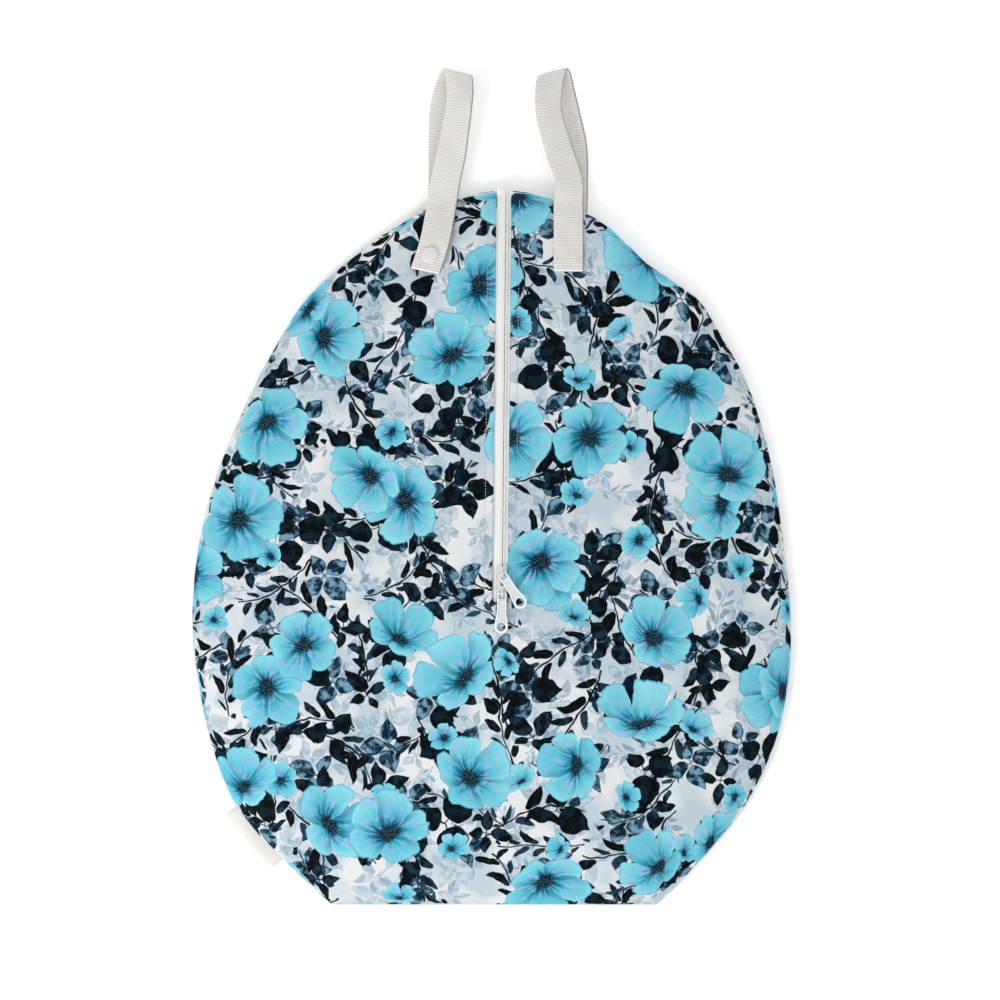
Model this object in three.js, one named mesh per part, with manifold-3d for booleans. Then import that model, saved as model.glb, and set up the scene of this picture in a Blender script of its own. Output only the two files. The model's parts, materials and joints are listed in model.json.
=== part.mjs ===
// Egg-shaped zipped wet bag with two webbing handles, lying on its back. Millimetres, +Z up.
//
// The bag lies with its zip side up and its handles towards +Y. Two cloth panels are joined all
// round at the side seam: the front one is a soft dome with a slit for the zip, the back one is
// flat on the floor and curls up to the seam. The handles start on the front, run over the top
// edge, fold over and come back under the bag.
import * as THREE from 'three';
import { mergeVertices } from 'three/addons/utils/BufferGeometryUtils.js';
import Module from 'manifold-3d';

const wasm = await Module();
wasm.setup();

// ---- The cloth bag ----
const BAG_WIDTH = 509;           // widest part of the egg
const BAG_LENGTH = 606;          // straight bottom edge to the top of the egg
const BAG_DEPTH = 36;            // floor to the crown, puffed as it lies
const CLOTH = 1.2;               // wall of both panels
const SEAM_HEIGHT = 12;          // side seam above the floor at the top of the bag
const SEAM_GAP = 0.3;            // between the two panels at the seam
const FIT = 0.3;                 // between pieces that lie on each other
const CROWN_UP = 0.45;           // height of the crown, as a share of the length
const DOME_FLAT = 3.0;           // the higher, the flatter the middle of the front
const DOME_EDGE = 0.62;          // the lower, the steeper the front is at the seam
const FLOOR_SHARE = 0.52;        // share of the back that lies flat on the floor
const BACK_CURL = 2.2;           // how late the back curls up to the seam

// ---- The zip ----
const ZIP_OPENING = 349;         // length of the slit, from the top edge down
const SLIT_WIDTH = 12.8;         // between the two turned-in cloth edges
const ZIP_X_TOP = 10.6;          // middle of the slit at the top edge
const ZIP_X_BOTTOM = 7.2;        // middle of the slit at its lower end
const CHAIN_ASIDE = 1.8;         // the chain lies this far right of the slit's middle
const TAPE_WIDTH = 17;           // one tape, from the middle of the chain outwards
const TAPE = 1.0;                // tape thickness
const TAPE_BELOW = 15;           // tape that runs on under the cloth, past the slit
const TAPE_NARROW = 10;          // the tape narrows to the slit over this length at the top
const ZIP_PROUD = 3;             // zip end standing proud of the top edge
const CHAIN_WIDTH = 4.4;
const CHAIN_HEIGHT = 1.7;
const CHAIN_FROM_END = 2;        // chain's lower end above the slit's lower end
const CHAIN_PITCH = 6;           // one rib of the chain
const CHAIN_RIB = 0.25;          // how far a rib stands up

// ---- The two sliders and their pulls ----
const SLIDER_LENGTH = 13;
const SLIDER_WIDTH = 7.8;
const SLIDER_PLATE = 1.2;
const SLIDER_NOSE = 5.6;         // width at the narrow end of a slider
const SLIDER_UP = 8;             // lower slider's pivot above the slit's lower end
const SLIDER_SPACING = 16.6;     // between the pivots of the two sliders
const ARCH_LENGTH = 5.8;         // bridge that holds the pull
const ARCH_WIDTH = 1.8;
const ARCH_LEG = 1.2;
const ARCH_OPENING = 3.4;        // free height under the bridge
const PULL_LENGTH = 34;          // pivot to the far end of the eyelet
const PULL_THICK = 1.4;
const PULL_ROOT = 7.6;           // width beside the pivot
const PULL_WAIST = 7.8;          // narrowest width of the tab
const PULL_EYE = 11.4;           // width over the eyelet
const PULL_HOLE = 7.6;           // bore of the eyelet
const PULL_BAR = 1.3;            // round bar under the bridge
const PULL_WINDOW = 4.6;         // pivot to the far side of the window round the bridge
const PULL_RIM = 0.35;           // raised rim round the tab

// ---- The handles ----
const WEBBING_WIDTH = 25.4;
const WEBBING = 1.6;
const HANDLE_DROP = 68;          // sewn ends below the top of the bag
const HANDLE_REACH = 171;        // sewn end to the top fold
const HANDLE_LEFT = -56;         // middle of the left handle's front end
const HANDLE_RIGHT = 65.4;       // middle of the right handle's front end
const HANDLE_LOFT = 15;          // between the front and back strands, at their middles
const SNAP_INSET = 12.6;         // snap above the lower end of the left handle

// ---- The snap that holds the left handle's front end ----
const CAP_DIAMETER = 14.5;
const CAP_HEIGHT = 2.6;
const CAP_POST = 2.6;
const SOCKET_DIAMETER = 10;
const SOCKET = 1.9;
const STUD_DIAMETER = 10;
const STUD = 0.9;
const NUB_DIAMETER = 4;
const NUB = 1.2;
const STUD_POST = 3;

// ---- The label in the lower left seam ----
const LABEL_LENGTH = 58;
const LABEL_DEPTH = 10.5;
const LABEL = 1.0;
const LABEL_UP = 0.101;          // its middle, as a share of the length

// Outline of the bag from the bottom edge up. up is a share of BAG_LENGTH, left and right are
// shares of BAG_WIDTH from the middle line, seam is the seam's height as a share of SEAM_HEIGHT.
const OUTLINE = [
  { up: 0.000, left: 0.267, right: 0.276, seam: 0.42 },
  { up: 0.035, left: 0.312, right: 0.318, seam: 0.44 },
  { up: 0.091, left: 0.381, right: 0.379, seam: 0.48 },
  { up: 0.147, left: 0.432, right: 0.429, seam: 0.50 },
  { up: 0.231, left: 0.470, right: 0.475, seam: 0.52 },
  { up: 0.316, left: 0.491, right: 0.496, seam: 0.54 },
  { up: 0.400, left: 0.500, right: 0.500, seam: 0.55 },
  { up: 0.512, left: 0.488, right: 0.487, seam: 0.56 },
  { up: 0.624, left: 0.450, right: 0.466, seam: 0.58 },
  { up: 0.736, left: 0.391, right: 0.425, seam: 0.62 },
  { up: 0.792, left: 0.355, right: 0.388, seam: 0.66 },
  { up: 0.849, left: 0.310, right: 0.345, seam: 0.72 },
  { up: 0.877, left: 0.276, right: 0.299, seam: 0.80 },
  { up: 0.902, left: 0.241, right: 0.257, seam: 0.88 },
  { up: 0.927, left: 0.203, right: 0.226, seam: 0.94 },
  { up: 0.952, left: 0.158, right: 0.193, seam: 0.98 },
  { up: 0.975, left: 0.110, right: 0.148, seam: 1.00 },
  { up: 0.991, left: 0.052, right: 0.098, seam: 1.00 },
  { up: 1.000, left: -0.004, right: 0.036, seam: 1.00 },
];

// Soft hollows and folds of the front. x and up place the middle (shares of BAG_WIDTH and
// BAG_LENGTH), turn is the fold's direction in degrees from +X, long and wide are half sizes
// (shares of BAG_WIDTH), deep is a share of BAG_DEPTH, negative where the cloth stands up.
const FOLDS = [
  { x: 0.255, up: 0.865, turn: 62, long: 0.10, wide: 0.022, deep: 0.11 },
  { x: 0.325, up: 0.760, turn: 40, long: 0.11, wide: 0.030, deep: 0.07 },
  { x: 0.170, up: 0.900, turn: 75, long: 0.08, wide: 0.020, deep: 0.08 },
  { x: 0.400, up: 0.600, turn: 15, long: 0.10, wide: 0.030, deep: 0.07 },
  { x: -0.330, up: 0.700, turn: 140, long: 0.12, wide: 0.035, deep: 0.05 },
  { x: -0.260, up: 0.120, turn: 52, long: 0.12, wide: 0.030, deep: 0.09 },
  { x: 0.270, up: 0.110, turn: 128, long: 0.12, wide: 0.030, deep: 0.09 },
  { x: 0.020, up: 0.170, turn: 4, long: 0.20, wide: 0.045, deep: 0.06 },
  { x: -0.190, up: 0.420, turn: 85, long: 0.22, wide: 0.070, deep: 0.05 },
  { x: 0.210, up: 0.400, turn: 97, long: 0.20, wide: 0.060, deep: 0.05 },
];

// Middle line of each handle, from its front end up, over the fold and back down to its back
// end. along and aside are shares of HANDLE_REACH, loft is a share of HANDLE_LOFT, skew and
// roll turn the webbing's width in plan and about its length, in degrees.
const LEFT_STRAP = [
  { along: 0.000, aside: 0.000, loft: 1.00, skew: -12, roll: 0 },
  { along: 0.139, aside: 0.044, loft: 1.00, skew: -12, roll: 0 },
  { along: 0.262, aside: 0.069, loft: 1.00, skew: -11, roll: 0 },
  { along: 0.446, aside: 0.099, loft: 1.00, skew: -10, roll: 4 },
  { along: 0.574, aside: 0.126, loft: 1.00, skew: -11, roll: 10 },
  { along: 0.688, aside: 0.146, loft: 1.05, skew: -10, roll: 20 },
  { along: 0.820, aside: 0.167, loft: 1.12, skew: -9, roll: 32 },
  { along: 0.920, aside: 0.171, loft: 1.08, skew: -10, roll: 26 },
  { along: 0.975, aside: 0.165, loft: 0.86, skew: -12, roll: 14 },
  { along: 0.994, aside: 0.158, loft: 0.50, skew: -14, roll: 6 },
  { along: 0.975, aside: 0.146, loft: 0.14, skew: -16, roll: 0 },
  { along: 0.920, aside: 0.122, loft: 0.00, skew: -16, roll: 0 },
  { along: 0.820, aside: 0.096, loft: 0.00, skew: -9, roll: 0 },
  { along: 0.640, aside: 0.087, loft: 0.00, skew: -2, roll: 0 },
  { along: 0.440, aside: 0.087, loft: 0.03, skew: -2, roll: 0 },
  { along: 0.240, aside: 0.080, loft: 0.20, skew: -2, roll: 0 },
  { along: 0.040, aside: 0.074, loft: 0.30, skew: -2, roll: 0 },
];
const RIGHT_STRAP = [
  { along: 0.000, aside: 0.000, loft: 1.00, skew: 0, roll: 0 },
  { along: 0.200, aside: 0.000, loft: 1.00, skew: 0, roll: 0 },
  { along: 0.330, aside: 0.000, loft: 1.00, skew: 2, roll: -4 },
  { along: 0.450, aside: 0.002, loft: 1.00, skew: 8, roll: -22 },
  { along: 0.574, aside: -0.037, loft: 1.00, skew: 15, roll: -18 },
  { along: 0.688, aside: -0.072, loft: 1.06, skew: 14, roll: -24 },
  { along: 0.797, aside: -0.099, loft: 1.12, skew: 8, roll: -30 },
  { along: 0.911, aside: -0.098, loft: 1.10, skew: 6, roll: -26 },
  { along: 0.975, aside: -0.088, loft: 0.86, skew: 11, roll: -12 },
  { along: 0.994, aside: -0.076, loft: 0.50, skew: 14, roll: -5 },
  { along: 0.975, aside: -0.062, loft: 0.14, skew: 12, roll: 0 },
  { along: 0.900, aside: -0.044, loft: 0.00, skew: 12, roll: 0 },
  { along: 0.800, aside: -0.020, loft: 0.00, skew: 10, roll: 0 },
  { along: 0.624, aside: 0.018, loft: 0.00, skew: 4, roll: 0 },
  { along: 0.440, aside: 0.023, loft: 0.03, skew: 0, roll: 0 },
  { along: 0.240, aside: 0.018, loft: 0.20, skew: 0, roll: 0 },
  { along: 0.040, aside: 0.008, loft: 0.30, skew: 0, roll: 0 },
];
const FOLD_ROW = 9;              // the row of both tables at the top fold

// How each pull lies: swing in plan, drop of its far end, and roll about its length, degrees.
const PULLS = [
  { name: 'upper', place: 1, swing: 33, drop: 0, roll: -10 },
  { name: 'lower', place: 0, swing: -1, drop: 4, roll: 0 },
];

const WHITE_PLASTIC = { color: 0xe4e6e6, roughness: 0.35, metalness: 0 };
const materials = {
  cloth: new THREE.MeshStandardMaterial({ color: 0x78a4b4, roughness: 0.75, metalness: 0 }),
  backCloth: new THREE.MeshStandardMaterial({ color: 0x6d98a8, roughness: 0.75, metalness: 0 }),
  tape: new THREE.MeshStandardMaterial({ color: 0xdedddb, roughness: 0.85, metalness: 0 }),
  chain: new THREE.MeshStandardMaterial({ color: 0xd9d9d5, roughness: 0.5, metalness: 0 }),
  plastic: new THREE.MeshStandardMaterial(WHITE_PLASTIC),
  webbing: new THREE.MeshStandardMaterial({ color: 0xdad7d4, roughness: 0.9, metalness: 0 }),
  label: new THREE.MeshStandardMaterial({ color: 0xf2f0ec, roughness: 0.6, metalness: 0 }),
};

const bag = new THREE.Group();
bag.name = 'wet_bag';

function addPiece(name, geometry, material, parent = bag) {
  const mesh = new THREE.Mesh(geometry, material);
  mesh.name = name;
  parent.add(mesh);
  return mesh;
}

// ---- Small helpers ----

const lerp = THREE.MathUtils.lerp;
const smooth = (x) => THREE.MathUtils.smoothstep(x, 0, 1);
const radians = THREE.MathUtils.degToRad;

// Six times the signed volume of an indexed body: positive when its faces point out.
function signedVolume(positions, triangles) {
  const corner = (n) => new THREE.Vector3().fromArray(positions, 3 * n);
  let sum = 0;
  for (let t = 0; t < triangles.length; t += 3) {
    const [a, b, c] = [corner(triangles[t]), corner(triangles[t + 1]), corner(triangles[t + 2])];
    sum += a.dot(b.cross(c));
  }
  return sum;
}

// A geometry from points and triangles, turned inside out if its faces point in.
function bodyFrom(points, triangles) {
  const positions = points.flatMap((p) => [p.x, p.y, p.z]);
  const index = signedVolume(positions, triangles) < 0 ? [...triangles].reverse() : triangles;
  const geometry = new THREE.BufferGeometry();
  geometry.setAttribute('position', new THREE.Float32BufferAttribute(positions, 3));
  geometry.setIndex(index);
  geometry.computeVertexNormals();
  return geometry;
}

function toSolid(geometry) {
  const bare = geometry.clone();
  bare.deleteAttribute('normal');
  bare.deleteAttribute('uv');
  const merged = mergeVertices(bare, 1e-4);
  return new wasm.Manifold(new wasm.Mesh({
    numProp: 3,
    vertProperties: new Float32Array(merged.attributes.position.array),
    triVerts: new Uint32Array(merged.index.array),
  }));
}

function fromSolid(solid) {
  const mesh = solid.getMesh();
  const geometry = new THREE.BufferGeometry();
  geometry.setAttribute('position', new THREE.BufferAttribute(mesh.vertProperties, 3));
  geometry.setIndex(new THREE.BufferAttribute(mesh.triVerts, 1));
  geometry.computeVertexNormals();
  return geometry;
}

// ---- The two panels ----

const SIDE_STEPS = 62;           // steps along the curved seam
const BOTTOM_STEPS = 7;          // steps along the straight bottom edge
const FRONT_RINGS = [0, 0.2, 0.4, 0.57, 0.71, 0.82, 0.9, 0.95, 0.985, 1];
const BACK_RINGS = [0, FLOOR_SHARE, 0.68, 0.8, 0.9, 0.96, 1];

// The seam line: up the left side, over the top, down the right side, back along the bottom.
function seamLine() {
  const side = (row, x) => new THREE.Vector3(x, row.up * BAG_LENGTH, row.seam * SEAM_HEIGHT);
  const left = OUTLINE.map((row) => side(row, -row.left * BAG_WIDTH));
  const right = OUTLINE.map((row) => side(row, row.right * BAG_WIDTH)).reverse();
  const curve = new THREE.CatmullRomCurve3([...left, ...right], false, 'centripetal');
  const points = curve.getSpacedPoints(SIDE_STEPS);
  const [start, end] = [points[0], points.at(-1)];
  for (let n = 1; n < BOTTOM_STEPS; n += 1) {
    points.push(end.clone().lerp(start, n / BOTTOM_STEPS));
  }
  return points;
}

const seam = seamLine();
const middle = new THREE.Vector2(0, CROWN_UP * BAG_LENGTH);

// Depth of the folds and hollows at a point of the front.
function foldDepth(x, y) {
  return FOLDS.reduce((sum, fold) => {
    const turn = radians(fold.turn);
    const [dx, dy] = [x - fold.x * BAG_WIDTH, y - fold.up * BAG_LENGTH];
    const along = (dx * Math.cos(turn) + dy * Math.sin(turn)) / (fold.long * BAG_WIDTH);
    const across = (dy * Math.cos(turn) - dx * Math.sin(turn)) / (fold.wide * BAG_WIDTH);
    return sum + fold.deep * BAG_DEPTH * Math.exp(-along * along - across * across);
  }, 0);
}

// Height of a panel at the share r of the way from the middle to the seam point of height s.
function frontHeight(r, s, crown, x, y) {
  const dome = Math.pow(1 - Math.pow(r, DOME_FLAT), DOME_EDGE);
  const fade = 1 - Math.pow(r, 6);
  return s + SEAM_GAP / 2 + (crown - s) * dome - foldDepth(x, y) * fade;
}
function backHeight(r, s, floor) {
  const curl = Math.max(0, (r - FLOOR_SHARE) / (1 - FLOOR_SHARE));
  return floor + (s - SEAM_GAP / 2 - floor) * Math.pow(curl, BACK_CURL);
}

// One face of a panel: rays from the middle to the seam, crossed by rings. inset draws the
// face in from the seam by a wall.
function panelFace(rings, inset, heightAt) {
  return rings.map((r) => seam.map((end) => {
    const ray = new THREE.Vector2(end.x - middle.x, end.y - middle.y);
    ray.multiplyScalar(r * (1 - inset / ray.length()));
    const [x, y] = [middle.x + ray.x, middle.y + ray.y];
    return new THREE.Vector3(x, y, heightAt(r, end.z, x, y));
  }));
}

const frontOuter = panelFace(FRONT_RINGS, 0, (r, s, x, y) => frontHeight(r, s, BAG_DEPTH, x, y));
const frontInner = panelFace(FRONT_RINGS, CLOTH,
  (r, s, x, y) => frontHeight(r, s, BAG_DEPTH - CLOTH, x, y));
const backOuter = panelFace(BACK_RINGS, 0, (r, s) => backHeight(r, s, 0));
const backInner = panelFace(BACK_RINGS, CLOTH, (r, s) => backHeight(r, s, CLOTH));

// A panel's body: its outer and inner faces, closed by a flat rim at the seam.
function panelBody(outer, inner) {
  const count = seam.length;
  const points = [];
  const triangles = [];
  const faceStart = [];
  [outer, inner].forEach((face, side) => {
    faceStart.push(points.length);
    points.push(face[0][0], ...face.slice(1).flat());
    const at = (ring, n) => faceStart[side] + (ring === 0 ? 0 : 1 + (ring - 1) * count + (n % count));
    const add = (a, b, c) => triangles.push(...(side ? [a, c, b] : [a, b, c]));
    for (let ring = 0; ring < face.length - 1; ring += 1) {
      for (let n = 0; n < count; n += 1) {
        add(at(ring, n), at(ring + 1, n), at(ring + 1, n + 1));
        if (ring) add(at(ring, n), at(ring + 1, n + 1), at(ring, n + 1));
      }
    }
  });
  const rim = (side, n) => faceStart[side] + 1 + (outer.length - 2) * count + (n % count);
  for (let n = 0; n < count; n += 1) {
    triangles.push(rim(0, n), rim(1, n), rim(1, n + 1), rim(0, n), rim(1, n + 1), rim(0, n + 1));
  }
  return bodyFrom(points, triangles);
}

// Height of a facet at (x, y), or null outside it.
function facetHeight(a, b, c, x, y) {
  const det = (b.x - a.x) * (c.y - a.y) - (c.x - a.x) * (b.y - a.y);
  if (Math.abs(det) < 1e-9) return null;
  const v = ((x - a.x) * (c.y - a.y) - (c.x - a.x) * (y - a.y)) / det;
  const w = ((b.x - a.x) * (y - a.y) - (x - a.x) * (b.y - a.y)) / det;
  if (v < -1e-6 || w < -1e-6 || v + w > 1 + 1e-6) return null;
  return a.z + v * (b.z - a.z) + w * (c.z - a.z);
}

// Height of a panel's face at (x, y), or null beyond the seam.
function heightOn(face, x, y) {
  const count = seam.length;
  const last = face.length - 1;
  for (let n = 0; n < count; n += 1) {
    const m = (n + 1) % count;
    const [c, p, q] = [face[0][0], face[last][n], face[last][m]];
    if (facetHeight(c, p, q, x, y) === null) continue;
    for (let ring = 0; ring < last; ring += 1) {
      const [i, o] = [face[ring], face[ring + 1]];
      const z = facetHeight(i[n], o[n], o[m], x, y) ?? facetHeight(i[n], o[m], i[m], x, y);
      if (z !== null) return z;
    }
  }
  return null;
}

// The heights of a face at and round (x, y), for a piece that lies on or under it.
function heightsNear(face, x, y, reach) {
  const around = [[0, 0], [reach, 0], [-reach, 0], [0, reach], [0, -reach]];
  return around.map(([dx, dy]) => heightOn(face, x + dx, y + dy)).filter((z) => z !== null);
}

// ---- The zip: slit, tapes and chain ----

const slitEnd = BAG_LENGTH - ZIP_OPENING;
const slitX = (y) => lerp(ZIP_X_BOTTOM, ZIP_X_TOP, (y - slitEnd) / ZIP_OPENING);
const chainX = (y) => slitX(y) + CHAIN_ASIDE;
const slitLean = Math.atan2(ZIP_X_TOP - ZIP_X_BOTTOM, ZIP_OPENING);

// The slit as a body that is cut out of the front: round at its lower end, open at the top.
function slitCutter() {
  const half = SLIT_WIDTH / 2;
  const round = half * 0.8;
  const shape = new THREE.Shape();
  shape.moveTo(-half, ZIP_OPENING * 1.2);
  shape.lineTo(-half, round);
  shape.absarc(-half + round, round, round, Math.PI, 1.5 * Math.PI, false);
  shape.lineTo(half - round, 0);
  shape.absarc(half - round, round, round, 1.5 * Math.PI, 2 * Math.PI, false);
  shape.lineTo(half, ZIP_OPENING * 1.2);
  const geometry = new THREE.ExtrudeGeometry(shape, {
    depth: 2 * BAG_DEPTH, bevelEnabled: false, curveSegments: 5,
  });
  geometry.rotateZ(-slitLean);
  geometry.translate(ZIP_X_BOTTOM, slitEnd, -BAG_DEPTH / 2);
  return toSolid(geometry);
}

// A ribbon of one thickness round a grid of middle points, rows along it and columns across.
function ribbonBody(grid, thickness) {
  const [rows, columns] = [grid.length, grid[0].length];
  const clamp = (n, top) => Math.min(Math.max(n, 0), top);
  const normalAt = (k, c) => {
    const along = grid[clamp(k + 1, rows - 1)][c].clone().sub(grid[clamp(k - 1, rows - 1)][c]);
    const across = grid[k][clamp(c + 1, columns - 1)].clone().sub(grid[k][clamp(c - 1, columns - 1)]);
    return across.cross(along).normalize();
  };
  const points = [];
  for (const side of [1, -1]) {
    grid.forEach((row, k) => row.forEach((p, c) => {
      points.push(p.clone().addScaledVector(normalAt(k, c), (side * thickness) / 2));
    }));
  }
  const at = (side, k, c) => side * rows * columns + k * columns + c;
  const triangles = [];
  const quad = (a, b, c, d) => triangles.push(a, b, c, a, c, d);
  for (let k = 0; k < rows - 1; k += 1) {
    for (let c = 0; c < columns - 1; c += 1) {
      quad(at(0, k, c), at(0, k, c + 1), at(0, k + 1, c + 1), at(0, k + 1, c));
      quad(at(1, k, c), at(1, k + 1, c), at(1, k + 1, c + 1), at(1, k, c + 1));
    }
    quad(at(0, k, 0), at(0, k + 1, 0), at(1, k + 1, 0), at(1, k, 0));
    quad(at(0, k + 1, columns - 1), at(0, k, columns - 1), at(1, k, columns - 1),
      at(1, k + 1, columns - 1));
  }
  for (let c = 0; c < columns - 1; c += 1) {
    quad(at(0, 0, c + 1), at(0, 0, c), at(1, 0, c), at(1, 0, c + 1));
    quad(at(0, rows - 1, c), at(0, rows - 1, c + 1), at(1, rows - 1, c + 1), at(1, rows - 1, c));
  }
  return bodyFrom(points, triangles);
}

// Top of the tape at (x, y): just under the cloth, and clear of the back panel at the seam.
function tapeTop(x, y) {
  const under = heightsNear(frontInner, x, y, 1.5);
  const over = heightsNear(backInner, x, y, 1.5);
  const seamTop = SEAM_HEIGHT + SEAM_GAP / 2 + FIT + TAPE;
  if (!under.length) return seamTop;
  const low = over.length ? Math.max(...over) + FIT + TAPE : seamTop;
  return Math.max(Math.min(...under) - FIT, low);
}

// Rows of the tapes from below the slit to the top, closer together where the cloth curves.
const TAPE_STEPS = 34;
const zipTop = BAG_LENGTH + ZIP_PROUD;
const tapeRows = Array.from({ length: TAPE_STEPS + 1 }, (_, k) => (
  lerp(slitEnd - TAPE_BELOW, zipTop, 1 - Math.pow(1 - k / TAPE_STEPS, 1.5))));

function zipTape(side) {
  const slitEdge = SLIT_WIDTH / 2 - side * CHAIN_ASIDE - FIT;
  const grid = tapeRows.map((y) => {
    const narrow = smooth((y - (BAG_LENGTH - 2 * TAPE_NARROW)) / TAPE_NARROW);
    const outer = lerp(TAPE_WIDTH, slitEdge, narrow);
    return [0, 0.35, 0.7, 1].map((share) => {
      const x = chainX(y) + side * lerp(FIT, outer, share);
      return new THREE.Vector3(x, y, tapeTop(x, y) - 0.62 * TAPE);
    });
  });
  return ribbonBody(grid, TAPE);
}

// A closed body from one section carried along, every section a ring of points.
function loftBody(sections) {
  const count = sections[0].length;
  const points = sections.flat();
  const triangles = [];
  for (let k = 0; k < sections.length - 1; k += 1) {
    for (let c = 0; c < count; c += 1) {
      const [a, b] = [k * count + c, k * count + ((c + 1) % count)];
      triangles.push(a, b, b + count, a, b + count, a + count);
    }
  }
  const last = (sections.length - 1) * count;
  for (let c = 1; c < count - 1; c += 1) {
    triangles.push(0, c + 1, c, last, last + c, last + c + 1);
  }
  return bodyFrom(points, triangles);
}

// Outline of the chain in section: x is a share of its width, z of its height.
const CHAIN_SECTION = [
  { x: -0.5, z: 0 }, { x: -0.5, z: 0.55 }, { x: -0.25, z: 1 },
  { x: 0.25, z: 1 }, { x: 0.5, z: 0.55 }, { x: 0.5, z: 0 },
];
const rowFeet = tapeRows.map((y) => FIT + Math.max(
  ...[-0.5, 0, 0.5].map((share) => tapeTop(chainX(y) + share * CHAIN_WIDTH, y))));
function chainFoot(y) {
  const n = Math.max(1, tapeRows.findIndex((row) => row >= y - 1e-6));
  const share = (y - tapeRows[n - 1]) / (tapeRows[n] - tapeRows[n - 1]);
  return lerp(rowFeet[n - 1], rowFeet[n], share);
}
function zipChain() {
  const [low, high] = [slitEnd + CHAIN_FROM_END, zipTop];
  const ribs = Math.round((high - low) / CHAIN_PITCH);
  const sections = [];
  for (let k = 0; k <= 2 * ribs; k += 1) {
    const y = lerp(low, high, k / (2 * ribs));
    const height = CHAIN_HEIGHT - (k % 2 ? 0 : CHAIN_RIB);
    const foot = chainFoot(y);
    sections.push(CHAIN_SECTION.map(
      (p) => new THREE.Vector3(chainX(y) + p.x * CHAIN_WIDTH, y, foot + p.z * height)));
  }
  return loftBody(sections);
}

// ---- The snap ----

const strapFoot = BAG_LENGTH - HANDLE_DROP;
const studTop = FIT + STUD;
const socketFoot = studTop + FIT;
const snapStack = socketFoot + SOCKET + FIT;
const strapTop = snapStack + WEBBING;

// ---- The handles ----

const STEPS_PER_ROW = 3;
const ACROSS = [-0.5, -0.17, 0.17, 0.5];

// The middle surface of a handle as a grid of points. lift(along) is the height that the
// front end keeps above the cloth under it.
function strapGrid(rows, footX, lift) {
  const points = rows.map((row) => new THREE.Vector3(
    footX + row.aside * HANDLE_REACH,
    strapFoot + row.along * HANDLE_REACH,
    WEBBING / 2 + row.loft * HANDLE_LOFT));
  const curve = new THREE.CatmullRomCurve3(points, false, 'centripetal');
  const steps = (rows.length - 1) * STEPS_PER_ROW;
  const grid = [];
  for (let k = 0; k <= steps; k += 1) {
    const place = k / STEPS_PER_ROW;
    const [here, next] = [rows[Math.floor(place)], rows[Math.ceil(place)]];
    const share = place - Math.floor(place);
    const skew = radians(lerp(here.skew, next.skew, share));
    const roll = radians(lerp(here.roll, next.roll, share));
    const width = new THREE.Vector3(
      Math.cos(skew) * Math.cos(roll), Math.sin(skew) * Math.cos(roll), Math.sin(roll));
    const centre = curve.getPoint(k / steps);
    grid.push(ACROSS.map((a) => {
      const p = centre.clone().addScaledVector(width, a * WEBBING_WIDTH);
      if (place <= FOLD_ROW) {
        const below = heightsNear(frontOuter, p.x, p.y, 3);
        const clear = lift((p.y - strapFoot) / HANDLE_REACH) + 0.62 * WEBBING;
        if (below.length) p.z = Math.max(p.z, Math.max(...below) + clear);
      } else {
        const above = heightsNear(backOuter, p.x, p.y, 3);
        if (above.length) p.z = Math.min(p.z, Math.min(...above) - FIT - 0.62 * WEBBING);
        p.z = Math.max(p.z, WEBBING / 2);
      }
      return p;
    }));
  }
  return grid;
}

// The left handle's front end stands on the snap and comes down to the cloth beyond it.
const snapReach = 2.6 * CAP_DIAMETER / HANDLE_REACH;
const leftLift = (along) => lerp(snapStack, FIT,
  smooth((along - (SNAP_INSET + CAP_DIAMETER / 2) / HANDLE_REACH) / snapReach));
const leftGrid = strapGrid(LEFT_STRAP, HANDLE_LEFT, leftLift);
const rightGrid = strapGrid(RIGHT_STRAP, HANDLE_RIGHT, () => FIT);

// The snap's place: on the cloth under the middle of the left handle, square to the cloth.
const snapShare = SNAP_INSET / (LEFT_STRAP[1].along * HANDLE_REACH);
const snapX = HANDLE_LEFT + snapShare * LEFT_STRAP[1].aside * HANDLE_REACH;
const snapY = strapFoot + SNAP_INSET;
const slope = STUD_DIAMETER / 2;
const clothUnderSnap = [[0, 0], [slope, 0], [-slope, 0], [0, slope], [0, -slope]].map(
  ([dx, dy]) => heightOn(frontOuter, snapX + dx, snapY + dy));
const snapNormal = new THREE.Vector3(
  (clothUnderSnap[2] - clothUnderSnap[1]) / (2 * slope),
  (clothUnderSnap[4] - clothUnderSnap[3]) / (2 * slope), 1).normalize();
const snapPlace = new THREE.Group();
snapPlace.position.set(snapX, snapY, clothUnderSnap[0]);
snapPlace.quaternion.setFromUnitVectors(new THREE.Vector3(0, 0, 1), snapNormal);
snapPlace.updateMatrixWorld(true);

// A turned body round +Z from a closed profile of [radius, height] pairs.
function turned(profile, segments = 16) {
  const ring = profile.map(([r, z]) => new THREE.Vector2(r, z));
  const geometry = new THREE.LatheGeometry(ring, segments);
  geometry.rotateX(Math.PI / 2);
  const solid = toSolid(geometry);
  const whole = fromSolid(solid);
  const positions = [...whole.attributes.position.array];
  const triangles = [...whole.index.array];
  const points = [];
  for (let n = 0; n < positions.length; n += 3) {
    points.push(new THREE.Vector3(positions[n], positions[n + 1], positions[n + 2]));
  }
  return bodyFrom(points, triangles);
}

// Lower part of the snap: a cap inside the bag, its post through the cloth, the stud and nub.
const insideTop = -CLOTH - FIT - 0.2;
function snapStud() {
  const [cap, post, stud, nub] = [STUD_DIAMETER / 2, STUD_POST / 2, STUD_DIAMETER / 2,
    NUB_DIAMETER / 2];
  return turned([
    [0, insideTop - STUD], [cap, insideTop - STUD], [cap, insideTop], [post, insideTop],
    [post, FIT], [stud, FIT], [stud, studTop], [nub, studTop],
    [nub, studTop + NUB], [0, studTop + NUB],
  ]);
}

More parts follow.
